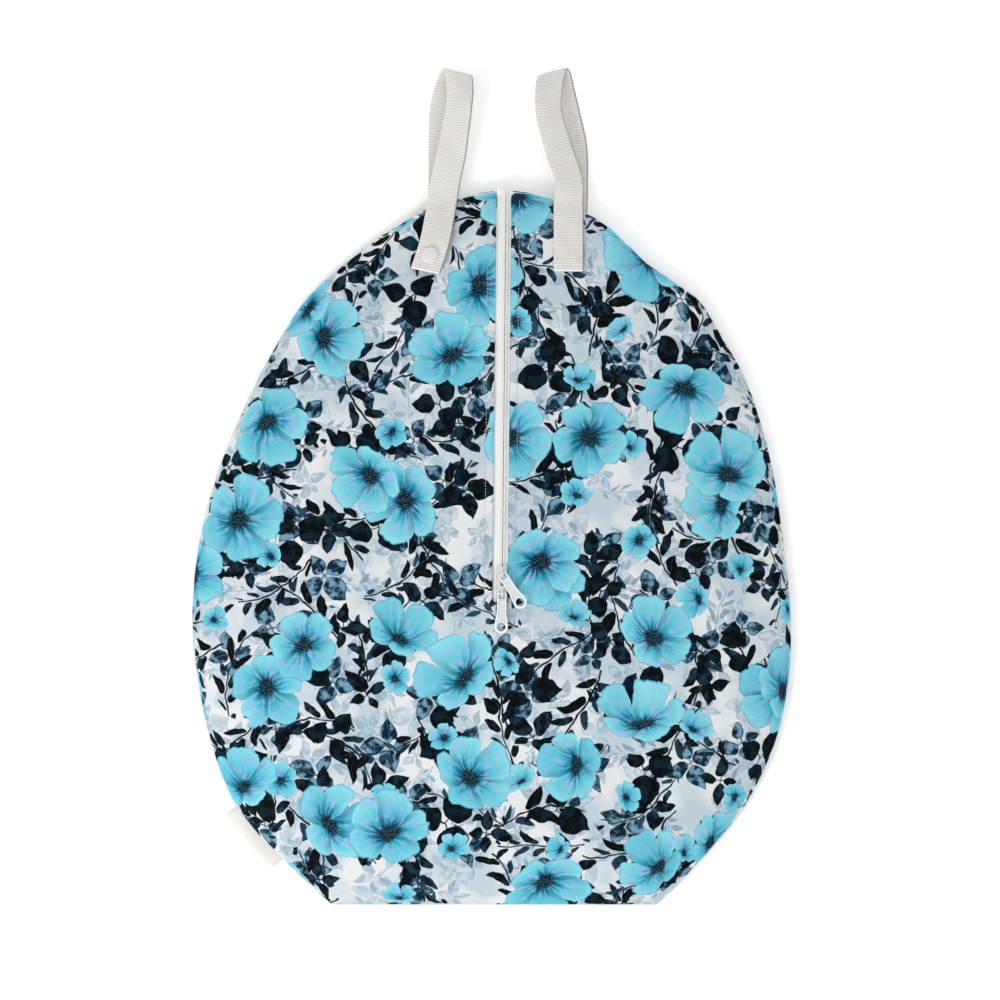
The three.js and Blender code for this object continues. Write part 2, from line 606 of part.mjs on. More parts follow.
// Socket under the webbing: a ring that takes the nub from below and the cap's post from above.
const recess = socketFoot + NUB;
function snapSocket() {
  const [outer, mouth, throat] = [SOCKET_DIAMETER / 2, NUB_DIAMETER / 2 + FIT, CAP_POST / 2 + FIT];
  return turned([
    [mouth, socketFoot], [outer, socketFoot], [outer, socketFoot + SOCKET],
    [throat, socketFoot + SOCKET], [throat, recess], [mouth, recess], [mouth, socketFoot],
  ]);
}

// Cap on the webbing: a low dome with a post down into the socket.
function snapCap() {
  const [radius, post] = [CAP_DIAMETER / 2, CAP_POST / 2];
  const foot = strapTop + FIT + 0.4;
  const profile = [[0, recess + FIT], [post, recess + FIT], [post, foot], [radius, foot]];
  for (let n = 1; n <= 5; n += 1) {
    const angle = (n / 5) * (Math.PI / 2);
    profile.push([radius * Math.cos(angle), foot + 0.5 + (CAP_HEIGHT - 0.5) * Math.sin(angle)]);
  }
  profile[profile.length - 1][0] = 0;
  profile.splice(4, 0, [radius, foot + 0.5]);
  return turned(profile, 20);
}

// A round hole along the snap's axis.
function snapHole(diameter) {
  const geometry = new THREE.CylinderGeometry(diameter / 2, diameter / 2, 6 * snapStack, 16);
  geometry.rotateX(Math.PI / 2);
  geometry.applyMatrix4(snapPlace.matrixWorld);
  return toSolid(geometry);
}

// ---- The sliders and pulls ----

// Heights above the foot of the chain.
const plateFoot = CHAIN_HEIGHT + FIT;
const plateTop = plateFoot + SLIDER_PLATE;
const pivotHeight = plateTop + ARCH_OPENING / 2;

// Slider: a plate that narrows at its nose, two cheeks beside the chain, and the bridge.
function sliderBody() {
  const plan = new THREE.Shape();
  const [half, nose, long] = [SLIDER_WIDTH / 2, SLIDER_NOSE / 2, SLIDER_LENGTH / 2];
  plan.moveTo(-nose, -long);
  plan.lineTo(nose, -long);
  plan.quadraticCurveTo(half, -long, half, -long * 0.3);
  plan.lineTo(half, long * 0.55);
  plan.quadraticCurveTo(half, long, nose, long);
  plan.lineTo(-nose, long);
  plan.quadraticCurveTo(-half, long, -half, long * 0.55);
  plan.lineTo(-half, -long * 0.3);
  plan.quadraticCurveTo(-half, -long, -nose, -long);
  const plate = new THREE.ExtrudeGeometry(plan, {
    depth: SLIDER_PLATE - 0.3, bevelThickness: 0.3, bevelSize: 0.3, bevelOffset: -0.3,
    bevelSegments: 1, curveSegments: 4,
  });
  plate.translate(0, 0, plateFoot + 0.3);
  const inner = CHAIN_WIDTH / 2 + FIT;
  const cheek = half - inner;
  const cheeks = [-1, 1].map((side) => {
    const box = new THREE.BoxGeometry(cheek, SLIDER_LENGTH * 0.62, plateFoot + 0.6 - FIT);
    box.translate(side * (inner + cheek / 2), 0, (plateFoot + 0.6 + FIT) / 2);
    return toSolid(box);
  });
  const arch = new THREE.Shape();
  const [span, rise] = [ARCH_LENGTH / 2, ARCH_OPENING + ARCH_LEG];
  arch.moveTo(-span, -0.5);
  arch.lineTo(-span, rise - 1.4);
  arch.quadraticCurveTo(-span, rise, -span + 1.6, rise);
  arch.lineTo(span - 1.6, rise);
  arch.quadraticCurveTo(span, rise, span, rise - 1.4);
  arch.lineTo(span, -0.5);
  arch.lineTo(span - ARCH_LEG, -0.5);
  arch.lineTo(span - ARCH_LEG, ARCH_OPENING - 0.5);
  arch.lineTo(span - ARCH_LEG - 0.5, ARCH_OPENING);
  arch.lineTo(-span + ARCH_LEG + 0.5, ARCH_OPENING);
  arch.lineTo(-span + ARCH_LEG, ARCH_OPENING - 0.5);
  arch.lineTo(-span + ARCH_LEG, -0.5);
  const bridge = new THREE.ExtrudeGeometry(arch, {
    depth: ARCH_WIDTH, bevelEnabled: false, curveSegments: 4,
  });
  bridge.rotateX(Math.PI / 2);
  bridge.rotateZ(Math.PI / 2);
  bridge.translate(-ARCH_WIDTH / 2, 0, plateTop);
  return fromSolid(toSolid(plate).add(cheeks[0]).add(cheeks[1]).add(toSolid(bridge)));
}

// Pull tab along -Y from its pivot: widening to an eyelet, with a window round the bridge and
// a raised rim.
function tabOutline(inset) {
  const eyeR = PULL_EYE / 2;
  const eyeY = -(PULL_LENGTH - eyeR);
  const [root, waist] = [PULL_ROOT / 2 - inset, PULL_WAIST / 2 - inset];
  const top = PULL_BAR / 2 + 0.1 - inset;
  const bend = Math.PI * 0.06;
  const shape = new THREE.Shape();
  shape.moveTo(-root + 1.5, top);
  shape.quadraticCurveTo(-root, top, -root, top - 1.8);
  shape.lineTo(-waist, -PULL_LENGTH * 0.42);
  shape.quadraticCurveTo(-waist, eyeY * 0.8,
    -(eyeR - inset) * Math.cos(bend), eyeY + (eyeR - inset) * Math.sin(bend));
  shape.absarc(0, eyeY, eyeR - inset, Math.PI - bend, 2 * Math.PI + bend, false);
  shape.quadraticCurveTo(waist, eyeY * 0.8, waist, -PULL_LENGTH * 0.42);
  shape.lineTo(root, top - 1.8);
  shape.quadraticCurveTo(root, top, root - 1.5, top);
  return shape;
}
function pullBody() {
  const slab = (shape, thick) => {
    const geometry = new THREE.ExtrudeGeometry(shape, {
      depth: thick, bevelEnabled: false, curveSegments: 6,
    });
    geometry.translate(0, 0, -thick / 2);
    return toSolid(geometry);
  };
  const round = (radius) => new THREE.Shape().absarc(0, 0, radius, 0, 2 * Math.PI, false);
  const eyeY = -(PULL_LENGTH - PULL_EYE / 2);
  const rim = 1.1;
  const recessShape = tabOutline(rim);
  const recessBlock = slab(recessShape, PULL_THICK * 2);
  const windowHalf = PULL_ROOT / 2 - 0.85;
  const windowTop = -PULL_BAR / 2;
  const windowEnd = -PULL_WINDOW;
  const window = new THREE.Shape();
  window.moveTo(-windowHalf, windowTop);
  window.lineTo(-windowHalf, windowEnd + 1);
  window.lineTo(-windowHalf + 1, windowEnd);
  window.lineTo(windowHalf - 1, windowEnd);
  window.lineTo(windowHalf, windowEnd + 1);
  window.lineTo(windowHalf, windowTop);
  const hole = slab(round(PULL_HOLE / 2), 3 * PULL_THICK).translate(0, eyeY, 0);
  const collar = slab(round(PULL_HOLE / 2 + rim), PULL_THICK).translate(0, eyeY, 0);
  const root = new THREE.Shape();
  root.moveTo(-PULL_ROOT / 2 + 0.2, 0.7);
  root.lineTo(-PULL_ROOT / 2 + 0.2, -PULL_WINDOW - rim);
  root.lineTo(PULL_ROOT / 2 - 0.2, -PULL_WINDOW - rim);
  root.lineTo(PULL_ROOT / 2 - 0.2, 0.7);
  const rootBlock = slab(root, PULL_THICK).intersect(slab(tabOutline(0), PULL_THICK));
  const faces = [1, -1].map((side) => slab(recessShape, PULL_RIM * 2).translate(
    0, 0, side * PULL_THICK / 2));
  const body = slab(tabOutline(0), PULL_THICK).subtract(faces[0]).subtract(faces[1])
    .add(collar.intersect(recessBlock.add(collar))).add(rootBlock)
    .subtract(slab(window, 3 * PULL_THICK)).subtract(hole);
  return fromSolid(body);
}

// ---- The label: a folded tab standing out of the seam, following its line ----

function seamAt(distanceUp) {
  const n = seam.findIndex((p) => p.y > distanceUp);
  const [a, b] = [seam[n - 1], seam[n]];
  return a.clone().lerp(b, (distanceUp - a.y) / (b.y - a.y));
}
function labelBody() {
  const centre = LABEL_UP * BAG_LENGTH;
  const [below, above] = [seamAt(centre - 5), seamAt(centre + 5)];
  const rise = (above.y - below.y) / below.distanceTo(above);
  const grid = [];
  for (let k = 0; k <= 8; k += 1) {
    const y = centre + (k / 8 - 0.5) * LABEL_LENGTH * rise;
    const edge = seamAt(y);
    const [p, q] = [seamAt(y - 3), seamAt(y + 3)];
    const out = new THREE.Vector3(-(q.y - p.y), q.x - p.x, 0).normalize();
    grid.push([0, 0.5, 1].map((share) => {
      const reach = FIT + 0.15 + share * LABEL_DEPTH;
      const droop = share * share * 0.3 * edge.z;
      return edge.clone().addScaledVector(out, reach).setZ(edge.z - droop);
    }));
  }
  return ribbonBody(grid, LABEL);
}

// ---- Assembly ----

const frontSolid = toSolid(panelBody(frontOuter, frontInner))
  .subtract(slitCutter())
  .subtract(snapHole(STUD_POST + 2 * FIT));
addPiece('front_panel', fromSolid(frontSolid), materials.cloth);
addPiece('back_panel', panelBody(backOuter, backInner), materials.backCloth);
addPiece('zipper_tape_left', zipTape(-1), materials.tape);
addPiece('zipper_tape_right', zipTape(1), materials.tape);
addPiece('zipper_chain', zipChain(), materials.chain);

for (const pull of PULLS) {
  const y = slitEnd + SLIDER_UP + pull.place * SLIDER_SPACING;
  const reach = SLIDER_LENGTH / 2;
  const [tail, nose] = [chainFoot(y - reach), chainFoot(y + reach)];
  const slider = new THREE.Group();
  slider.position.set(chainX(y), y, Math.max(chainFoot(y), (tail + nose) / 2));
  slider.rotation.set(Math.atan2(nose - tail, SLIDER_LENGTH), 0, -slitLean);
  addPiece(`slider_${pull.name}`, sliderBody(), materials.plastic, slider);
  const hinge = new THREE.Group();
  hinge.position.set(0, 0, pivotHeight);
  hinge.rotation.set(0, 0, radians(pull.swing));
  const lie = new THREE.Group();
  lie.rotation.set(radians(pull.drop), radians(pull.roll), 0, 'YXZ');
  addPiece(`pull_${pull.name}`, pullBody(), materials.plastic, lie);
  hinge.add(lie);
  slider.add(hinge);
  bag.add(slider);
}

const leftStrap = toSolid(ribbonBody(leftGrid, WEBBING)).subtract(snapHole(CAP_POST + 2 * FIT));
addPiece('handle_left', fromSolid(leftStrap), materials.webbing);
addPiece('handle_right', ribbonBody(rightGrid, WEBBING), materials.webbing);
addPiece('snap_stud', snapStud(), materials.plastic, snapPlace);
addPiece('snap_socket', snapSocket(), materials.plastic, snapPlace);
addPiece('snap_cap', snapCap(), materials.plastic, snapPlace);
bag.add(snapPlace);
addPiece('seam_label', labelBody(), materials.label);

// The origin is the middle of the whole thing in plan, at the floor.
bag.updateMatrixWorld(true);
const box = new THREE.Box3().setFromObject(bag, true);
bag.position.set(-(box.min.x + box.max.x) / 2, -(box.min.y + box.max.y) / 2, -box.min.z);

export default bag;
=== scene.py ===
# %% [markdown]
# # A zipped wet bag of printed waterproof cloth
# The bag lies on its back on a light table and is seen from straight above. Its solids come from
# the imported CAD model, in metres, and this file dresses them: cloth, webbing, zip, thread. Every
# surface below is worked out as a whole array of points, a function of two parameters on a grid,
# and the pattern on the cloth is built from shader nodes that read the piece's own UV map.

# %% The fixed frame
import json
import bmesh
import bpy
import numpy as np
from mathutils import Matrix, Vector


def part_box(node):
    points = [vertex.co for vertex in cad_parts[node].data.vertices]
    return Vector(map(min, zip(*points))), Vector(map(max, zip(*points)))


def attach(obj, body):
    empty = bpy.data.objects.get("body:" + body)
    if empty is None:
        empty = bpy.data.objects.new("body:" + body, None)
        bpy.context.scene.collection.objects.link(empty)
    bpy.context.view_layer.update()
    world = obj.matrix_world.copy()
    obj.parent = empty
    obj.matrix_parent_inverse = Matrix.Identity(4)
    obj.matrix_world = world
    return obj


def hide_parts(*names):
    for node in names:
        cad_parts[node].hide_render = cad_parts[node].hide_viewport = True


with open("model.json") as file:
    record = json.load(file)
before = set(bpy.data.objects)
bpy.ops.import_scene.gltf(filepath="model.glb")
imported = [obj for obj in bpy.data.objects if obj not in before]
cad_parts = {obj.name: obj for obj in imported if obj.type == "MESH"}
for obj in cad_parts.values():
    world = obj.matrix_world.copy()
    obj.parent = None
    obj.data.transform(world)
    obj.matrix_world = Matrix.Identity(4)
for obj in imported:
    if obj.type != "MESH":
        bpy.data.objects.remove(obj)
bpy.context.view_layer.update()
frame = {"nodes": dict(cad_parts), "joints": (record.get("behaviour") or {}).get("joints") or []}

# %% [markdown]
# ## Named sizes
# The sizes are the bag's own, in metres, as a maker would read them off a tape measure. The
# bag's middle line and bottom edge are found from the front panel's box, so that every piece
# below starts from the same two numbers as the solids do.

# %% Sizes of the bag
MM = 0.001
BAG_WIDTH, BAG_LENGTH, BAG_DEPTH = 509 * MM, 606 * MM, 36 * MM
SEAM_HEIGHT = 12 * MM
CROWN_UP, DOME_FLAT, DOME_EDGE = 0.45, 3.0, 0.62
FLOOR_SHARE, BACK_CURL = 0.52, 2.2
CLOTH = 0.8 * MM
ZIP_OPENING, SLIT_WIDTH = 349 * MM, 12.8 * MM
ZIP_X_TOP, ZIP_X_BOTTOM, CHAIN_ASIDE = 10.6 * MM, 7.2 * MM, 1.8 * MM

front_low, front_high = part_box("front_panel")
SIDE = front_low[0] + 0.5 * BAG_WIDTH      # the bag's middle line
FOOT = front_low[1]                        # its bottom edge
print("middle line at", round(SIDE, 5), "bottom edge at", round(FOOT, 5))

# %% [markdown]
# ## Camera and light
# The picture is taken from straight above with a very long lens, so the raised handles and zip
# keep their places: the frame is 0.85 m wide at the bag. The light is a soft box from the lower
# left, with much fill from all round, so the bag keeps only the faint shade of its soft dome and
# a thin shadow on the right of each strap, made darker by painted shade along each strap's
# right edge.

# %% Camera straight above
scene = bpy.context.scene
LENS, SENSOR, VIEW_WIDTH = 300.0, 36.0, 0.85
VIEW_X, VIEW_Y, VIEW_PLANE = 0.0072, -0.0117, 0.008     # the point the frame is measured at
camera_data = bpy.data.cameras.new("overhead_camera")
camera_data.lens, camera_data.sensor_width = LENS, SENSOR
camera = bpy.data.objects.new("overhead_camera", camera_data)
scene.collection.objects.link(camera)
camera.location = (VIEW_X, VIEW_Y, VIEW_PLANE + VIEW_WIDTH * LENS / SENSOR)
scene.camera = camera
scene.view_settings.view_transform = "Standard"
print("camera height", round(camera.location.z, 3))

# %% Soft studio lights
AIR_LIGHT, TABLE_GLOW = 0.80, 0.20
# place, size in metres, power in watts; both boxes face the origin, the middle of the part
SOFT_BOXES = {"key_box": ((-1.2, -1.25, 1.4), 0.7, 18.0),
              "fill_box": ((1.4, 1.1, 2.0), 1.8, 6.0)}
world = bpy.data.worlds.new("studio_air")
scene.world = world
world.use_nodes = True
world.node_tree.nodes["Background"].inputs["Color"].default_value = (1.0, 1.0, 1.0, 1.0)
world.node_tree.nodes["Background"].inputs["Strength"].default_value = AIR_LIGHT
for name, (place, size, power) in SOFT_BOXES.items():
    lamp_data = bpy.data.lights.new(name, "AREA")
    lamp_data.shape, lamp_data.size, lamp_data.energy = "SQUARE", size, power
    lamp = bpy.data.objects.new(name, lamp_data)
    lamp.location = place
    lamp.rotation_euler = (-Vector(place)).to_track_quat("-Z", "Y").to_euler()
    scene.collection.objects.link(lamp)
print("lights", len(SOFT_BOXES))

# %% [markdown]
# ## Helpers for colour, shader nodes and meshes
# One function turns a hex colour into the linear light that shaders want. One function adds any
# shader node with its settings and links, and what it gives back can be added and multiplied
# like a number, so that the formulas of the print stay readable. One function makes a mesh from
# a grid of points, and every curved piece below goes through it.

# %% Colour and shader nodes


def ink(code):
    """An sRGB hex colour as linear red, green, blue and alpha."""
    share = np.array([int(code[n:n + 2], 16) for n in (1, 3, 5)]) / 255
    light = np.where(share <= 0.04045, share / 12.92, ((share + 0.055) / 1.055) ** 2.4)
    return (*light.tolist(), 1.0)


def sign(operation):
    """A Python sign for values in a node tree: it adds one Math node."""
    return lambda value, *other: value.maths(operation, *other)


class Value:
    """What a shader node gives: its first output in use, or a named one."""
    __add__, __sub__, __mul__ = sign("ADD"), sign("SUBTRACT"), sign("MULTIPLY")
    __truediv__, __pow__ = sign("DIVIDE"), sign("POWER")
    __lt__, __abs__ = sign("LESS_THAN"), sign("ABSOLUTE")

    def __init__(self, tree, node, name=None):
        self.tree, self.node, self.name = tree, node, name

    def take(self, name):
        """A named output of the same node."""
        return Value(self.tree, self.node, name)

    def maths(self, operation, *values, **settings):
        """One Math node with this value first."""
        return add(self.tree, "Math", self, *values, operation=operation, **settings)

    def vector(self, operation, *values):
        """One VectorMath node with this value first."""
        return add(self.tree, "VectorMath", self, *values, operation=operation)

    def between(self, low, high, first=0.0, last=1.0):
        """The range from low to high, stretched to first to last and held there."""
        return add(self.tree, "MapRange", self, low, high, first, last)

    def blend(self, under, over):
        """One colour over another by this value's share."""
        return add(self.tree, "Mix", self, under, over, data_type="RGBA")

    def output(self):
        """The socket that gives the value."""
        used = [s for s in self.node.outputs if s.enabled]
        return self.node.outputs[self.name] if self.name else used[0]

    def into(self, node, name):
        """Link this value to a named input of another node."""
        self.tree.links.new(self.output(), node.inputs[name])


def add(tree, kind, *values, **settings):
    """Add a shader node. Each value fills the next input that is in use: a Value is linked to
    it, None leaves it, a text is a hex colour, anything else is its number."""
    made = tree.nodes.new("ShaderNode" + kind)
    for name, setting in settings.items():
        setattr(made, name, setting)
    for socket, value in zip([s for s in made.inputs if s.enabled], values):
        if isinstance(value, Value):
            tree.links.new(value.output(), socket)
        elif value is not None:
            socket.default_value = ink(value) if isinstance(value, str) else value
    return Value(tree, made)


def new_material(name, **numbers):
    """A material with a Principled shader, whose sockets take the numbers: an underscore stands
    for the space in a socket's name."""
    material = bpy.data.materials.new(name)
    material.use_nodes = True
    shader = material.node_tree.nodes["Principled BSDF"]
    for title, number in numbers.items():
        shader.inputs[title.replace("_", " ")].default_value = number
    return material, material.node_tree, shader


def object_noise(tree, scale, detail):
    """A noise in the piece's own space, so it moves with the piece."""
    return add(tree, "TexNoise", add(tree, "TexCoord").take("Object"), scale, detail)


def clouded(name, scale, detail, dark, light, **numbers):
    """A material whose colour drifts between two inks with a noise of a scale and detail."""
    material, tree, shader = new_material(name, **numbers)
    cloud = object_noise(tree, scale, detail)
    cloud.blend(dark, light).into(shader, "Base Color")
    return material, shader, cloud


def emboss(shader, height, strength, depth):
    """Raise the surface by a value, with a strength and a depth in metres."""
    add(height.tree, "Bump", strength, depth, None, height).into(shader, "Normal")


def cloth_place(tree):
    """The place on the flat cloth from the piece's own UV map, in millimetres."""
    return add(tree, "UVMap", uv_map="cloth").vector("SCALE", 1 / MM)


# %% Meshes from grids of points


def new_piece(name, points, faces, corners=None):
    """A smooth mesh object; corners is the UV place of each corner of each face."""
    mesh = bpy.data.meshes.new(name)
    mesh.from_pydata(points.reshape(-1, 3).tolist(), [], faces)
    if corners is not None:
        mesh.uv_layers.new(name="cloth").data.foreach_set("uv", corners.ravel())
    mesh.polygons.foreach_set("use_smooth", np.ones(len(mesh.polygons), dtype=bool))
    mesh.update()
    piece = bpy.data.objects.new(name, mesh)
    scene.collection.objects.link(piece)
    return piece


def skin(name, grid, uv=None, wrap=False, ring=False, caps=False, keep=None):
    """Quads between neighbouring points of a grid of rows and columns. wrap joins the last
    column to the first, ring the last row to the first, caps closes the first and last rows, keep
    drops quads where it is false, and uv gives each corner its place on the flat cloth."""
    rows, columns = grid.shape[:2]
    row, column = np.meshgrid(np.arange(rows - (0 if ring else 1)),
                              np.arange(columns - (0 if wrap else 1)), indexing="ij")
    if keep is not None:
        row, column = row[keep], column[keep]
    row, column = row.ravel(), column.ravel()
    corner_row = np.stack([row, row, row + 1, row + 1], 1)
    corner_column = np.stack([column, column + 1, column + 1, column], 1)
    faces = corner_row % rows * columns + corner_column % columns
    points = grid.reshape(-1, 3)
    if keep is not None:
        used, faces = np.unique(faces, return_inverse=True)
        points, faces = points[used], faces.reshape(-1, 4)
    faces = faces.tolist()
    corners = None if uv is None else uv[corner_row, corner_column].reshape(-1, 2)
    if caps:
        end = np.arange(columns)
        faces += [end[::-1].tolist(), (end + (rows - 1) * columns).tolist()]
        if uv is not None:
            corners = np.concatenate([corners, uv[0, :columns][::-1], uv[-1, :columns]])
    return new_piece(name, points, faces, corners)


def thicken(piece, thickness, inner=0):
    """Give a sheet a wall on its inner side, with the material that many slots further on."""
    wall = piece.modifiers.new("wall", "SOLIDIFY")
    wall.thickness, wall.offset, wall.material_offset = thickness, -1.0, inner


def dress(piece, material, slot, *nodes):
    """Give a piece its material, let it ride on the bag and stand for the named solids."""
    piece.data.materials.append(material)
    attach(piece, "bag")
    if nodes:
        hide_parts(*nodes)
    print(piece.name, len(piece.data.polygons), "faces")


# %% Points and curves


def in_frame(x, y, z):
    """Points of the bag's own measure, from its middle line and bottom edge, in the frame."""
    return np.stack([x + SIDE, y + FOOT, z], axis=-1)


def spline(points, steps):
    """A smooth curve through points: between two of them a cubic whose speed follows the square
    root of the distances, cut into a number of steps."""
    row = np.concatenate([[2 * points[0] - points[1]], points, [2 * points[-1] - points[-2]]])
    a, b, c, d = row[:-3], row[1:-2], row[2:-1], row[3:]
    gap = [np.linalg.norm(q - p, axis=1, keepdims=True) ** 0.5 + 1e-12
           for p, q in ((a, b), (b, c), (c, d))]
    start = ((b - a) / gap[0] - (c - a) / (gap[0] + gap[1]) + (c - b) / gap[1]) * gap[1]
    finish = ((c - b) / gap[1] - (d - b) / (gap[1] + gap[2]) + (d - c) / gap[2]) * gap[1]
    t = (np.arange(steps) / steps)[None, :, None]
    b, c, start, finish = (v[:, None, :] for v in (b, c, start, finish))
    curve = (b * (2 * t**3 - 3 * t**2 + 1) + start * (t**3 - 2 * t**2 + t)
             + c * (3 * t**2 - 2 * t**3) + finish * (t**3 - t**2))
    return np.concatenate([curve.reshape(-1, points.shape[1]), points[-1:]])


def smooth(share):
    """The soft step 3t^2 - 2t^3, held at 0 and 1."""
    t = np.clip(share, 0, 1)
    return t * t * (3 - 2 * t)


def bell(distance):
    """The bell exp(-d^2)."""
    return np.exp(-(distance**2))


def unit_vectors(v):
    """Vectors scaled to length one."""
    return v / np.maximum(np.linalg.norm(v, axis=-1, keepdims=True), 1e-12)


def distances(path):
    """Distance along a path at each of its points."""
    return np.concatenate([[0], np.cumsum(np.linalg.norm(np.diff(path, axis=0), axis=1))])


def path_at(places, marks, path):
    """Points of a path at places between the marks of its own points."""
    return np.stack([np.interp(places, marks, path[:, n]) for n in range(3)], -1)


# %% [markdown]
# ## The outline of the bag
# The egg is drawn by a short table: how far up, how far left and right, how high the side seam
# stands. The curve through it is the same as the solid's, and it is then known by angle round
# the middle of the bag, because both panels are domes spanned from the middle to the seam.

# %% The seam line
OUTLINE = np.array([
    (0.000, 0.267, 0.276, 0.42), (0.035, 0.312, 0.318, 0.44), (0.091, 0.381, 0.379, 0.48),
    (0.147, 0.432, 0.429, 0.50), (0.231, 0.470, 0.475, 0.52), (0.316, 0.491, 0.496, 0.54),
    (0.400, 0.500, 0.500, 0.55), (0.512, 0.488, 0.487, 0.56), (0.624, 0.450, 0.466, 0.58),
    (0.736, 0.391, 0.425, 0.62), (0.792, 0.355, 0.388, 0.66), (0.849, 0.310, 0.345, 0.72),
    (0.877, 0.276, 0.299, 0.80), (0.902, 0.241, 0.257, 0.88), (0.927, 0.203, 0.226, 0.94),
    (0.952, 0.158, 0.193, 0.98), (0.975, 0.110, 0.148, 1.00), (0.991, 0.052, 0.098, 1.00),
    (1.000, -0.004, 0.036, 1.00)])
up, left, right, seam = OUTLINE.T
left_side = np.stack([-left * BAG_WIDTH, up * BAG_LENGTH, seam * SEAM_HEIGHT], 1)
right_side = np.stack([right * BAG_WIDTH, up * BAG_LENGTH, seam * SEAM_HEIGHT], 1)[::-1]
curve = spline(np.concatenate([left_side, right_side]), 60)
top_at = int(np.argmax(curve[:, 1]))
LEFT_EDGE, RIGHT_EDGE = curve[:top_at + 1], curve[top_at:][::-1]
close = np.linspace(0, 1, 400)[1:-1, None]
loop = np.concatenate([curve, curve[-1] + (curve[0] - curve[-1]) * close])
MIDDLE = np.array([0.0, CROWN_UP * BAG_LENGTH])
angle = np.arctan2(loop[:, 1] - MIDDLE[1], loop[:, 0] - MIDDLE[0])
order = np.argsort(angle)
LOOP_ANGLE, LOOP_REACH = angle[order], np.hypot(*(loop[:, :2] - MIDDLE).T)[order]
LOOP_HEIGHT = loop[order, 2]
print("outline points", len(loop), "top at", round(curve[top_at, 0] / MM, 1), "mm")


def dome(x, y):
    """Share of the way from the middle to the seam, the seam's height there and the angle."""
    turn = np.arctan2(y - MIDDLE[1], x - MIDDLE[0])
    reach = np.interp(turn, LOOP_ANGLE, LOOP_REACH, period=2 * np.pi)
    height = np.interp(turn, LOOP_ANGLE, LOOP_HEIGHT, period=2 * np.pi)
    return np.hypot(x - MIDDLE[0], y - MIDDLE[1]) / reach, height, turn


# %% [markdown]
# ## The shape of the two panels
# The front is a soft dome: flat across its middle, steep at the seam, with the long shallow
# folds that a puffed empty bag keeps. The back lies flat on the table and curls up to the seam.
# Small puckers run in from the seam, where the stitching gathers the cloth.

# %% Heights of the front and the back
# across and up (shares of the bag), direction (degrees), length and width (shares of the bag's
# width), depth (share of the bag's)
FOLDS = np.array([
    (0.255, 0.865, 62, 0.10, 0.022, 0.11), (0.325, 0.760, 40, 0.11, 0.030, 0.07),
    (0.170, 0.900, 75, 0.08, 0.020, 0.08), (0.400, 0.600, 15, 0.10, 0.030, 0.07),
    (-0.330, 0.700, 140, 0.12, 0.035, 0.05), (-0.260, 0.120, 52, 0.12, 0.030, 0.09),
    (0.270, 0.110, 128, 0.12, 0.030, 0.09), (0.020, 0.170, 4, 0.20, 0.045, 0.06),
    (-0.190, 0.420, 85, 0.22, 0.070, 0.05), (0.210, 0.400, 97, 0.20, 0.060, 0.05)])
PUCKER, PUCKER_REACH = 0.35 * MM, 0.055                     # height; share of the way inwards
CREASE, CREASE_IN, CREASE_WIDTH = 1.5 * MM, 0.0105, 0.0042  # depth; shares of the way inwards


def fold_depth(x, y):
    """Sum of long bell-shaped hollows, each turned to its own direction."""
    total = np.zeros(np.broadcast(x, y).shape)
    for across, along, turn, long, wide, deep in FOLDS:
        c, s = np.cos(np.radians(turn)), np.sin(np.radians(turn))
        dx, dy = x - across * BAG_WIDTH, y - along * BAG_LENGTH
        u, v = (dx * c + dy * s) / (long * BAG_WIDTH), (dy * c - dx * s) / (wide * BAG_WIDTH)
        total = total + deep * BAG_DEPTH * np.exp(-u * u - v * v)
    return total


def puckers(turn, share):
    """Small waves along the seam that die away inwards."""
    waves = (np.sin(61 * turn) + 0.8 * np.sin(97 * turn + 1.3) + 0.5 * np.sin(151 * turn + 0.4))
    return PUCKER * waves * bell((1 - share) / PUCKER_REACH) * (share < 0.9999)


def seam_crease(turn, share):
    """A narrow bell-shaped groove just inside the seam, deepest on the right, where the turned
    seam rolls a little under the bag."""
    right = 0.35 + 0.65 * smooth(0.5 + 0.8 * np.cos(turn - 0.45))
    return CREASE * right * bell((1 - share - CREASE_IN) / CREASE_WIDTH)


def front_height(x, y, folds=True):
    """Seam height plus the dome, a power of the share from middle to seam, less the folds."""
    share, seam_height, turn = dome(x, y)
    inside = np.clip(share, 0, 1)
    rise = (BAG_DEPTH - seam_height) * (1 - inside**DOME_FLAT) ** DOME_EDGE
    height = seam_height + rise - fold_depth(x, y) * (1 - inside**6)
    return height + (puckers(turn, inside) - seam_crease(turn, inside) if folds else 0)


def back_height(x, y):
    """Zero over the flat middle, then a power curve up to the seam."""
    share, seam_height, _ = dome(x, y)
    curl = np.clip((share - FLOOR_SHARE) / (1 - FLOOR_SHARE), 0, 1)
    return seam_height * curl**BACK_CURL


print("crown", round(float(front_height(*MIDDLE)) / MM, 1), "mm")

# %% [markdown]
# ## The front panel
# One piece of cloth with a slit for the zip. The grid's rows run across the bag and its columns
# run up it, so that the slit's two edges are columns and the slit itself is only quads left out.
# Beside the slit the cloth is turned under and stitched down, which leaves a raised band with a
# groove along the stitching. The UV map is the distance along the cloth in metres, so the print
# keeps its size where the cloth turns away from the eye.

# %% Grid of the front panel
SLIT_END = BAG_LENGTH - ZIP_OPENING
HEM = 6.8 * MM                      # stitching to slit edge
ROUND_LEFT, ROUND_RIGHT = 4.0 * MM, 1.5 * MM
FRONT_ROWS, HALF_COLUMNS, SLIT_COLUMNS = 176, 84, 8
# rows close together at the slit's lower end, in millimetres from it
NEAR_END = MM * np.array([-9, -7.6, -6.8, -6, -4, -2, -1, -0.5, 0, 0.3, 0.8, 1.5, 2.6, 4])


def slit_middle(y):
    """The slit's middle leans a little to the right on its way up."""
    return ZIP_X_BOTTOM + (ZIP_X_TOP - ZIP_X_BOTTOM) * (y - SLIT_END) / ZIP_OPENING


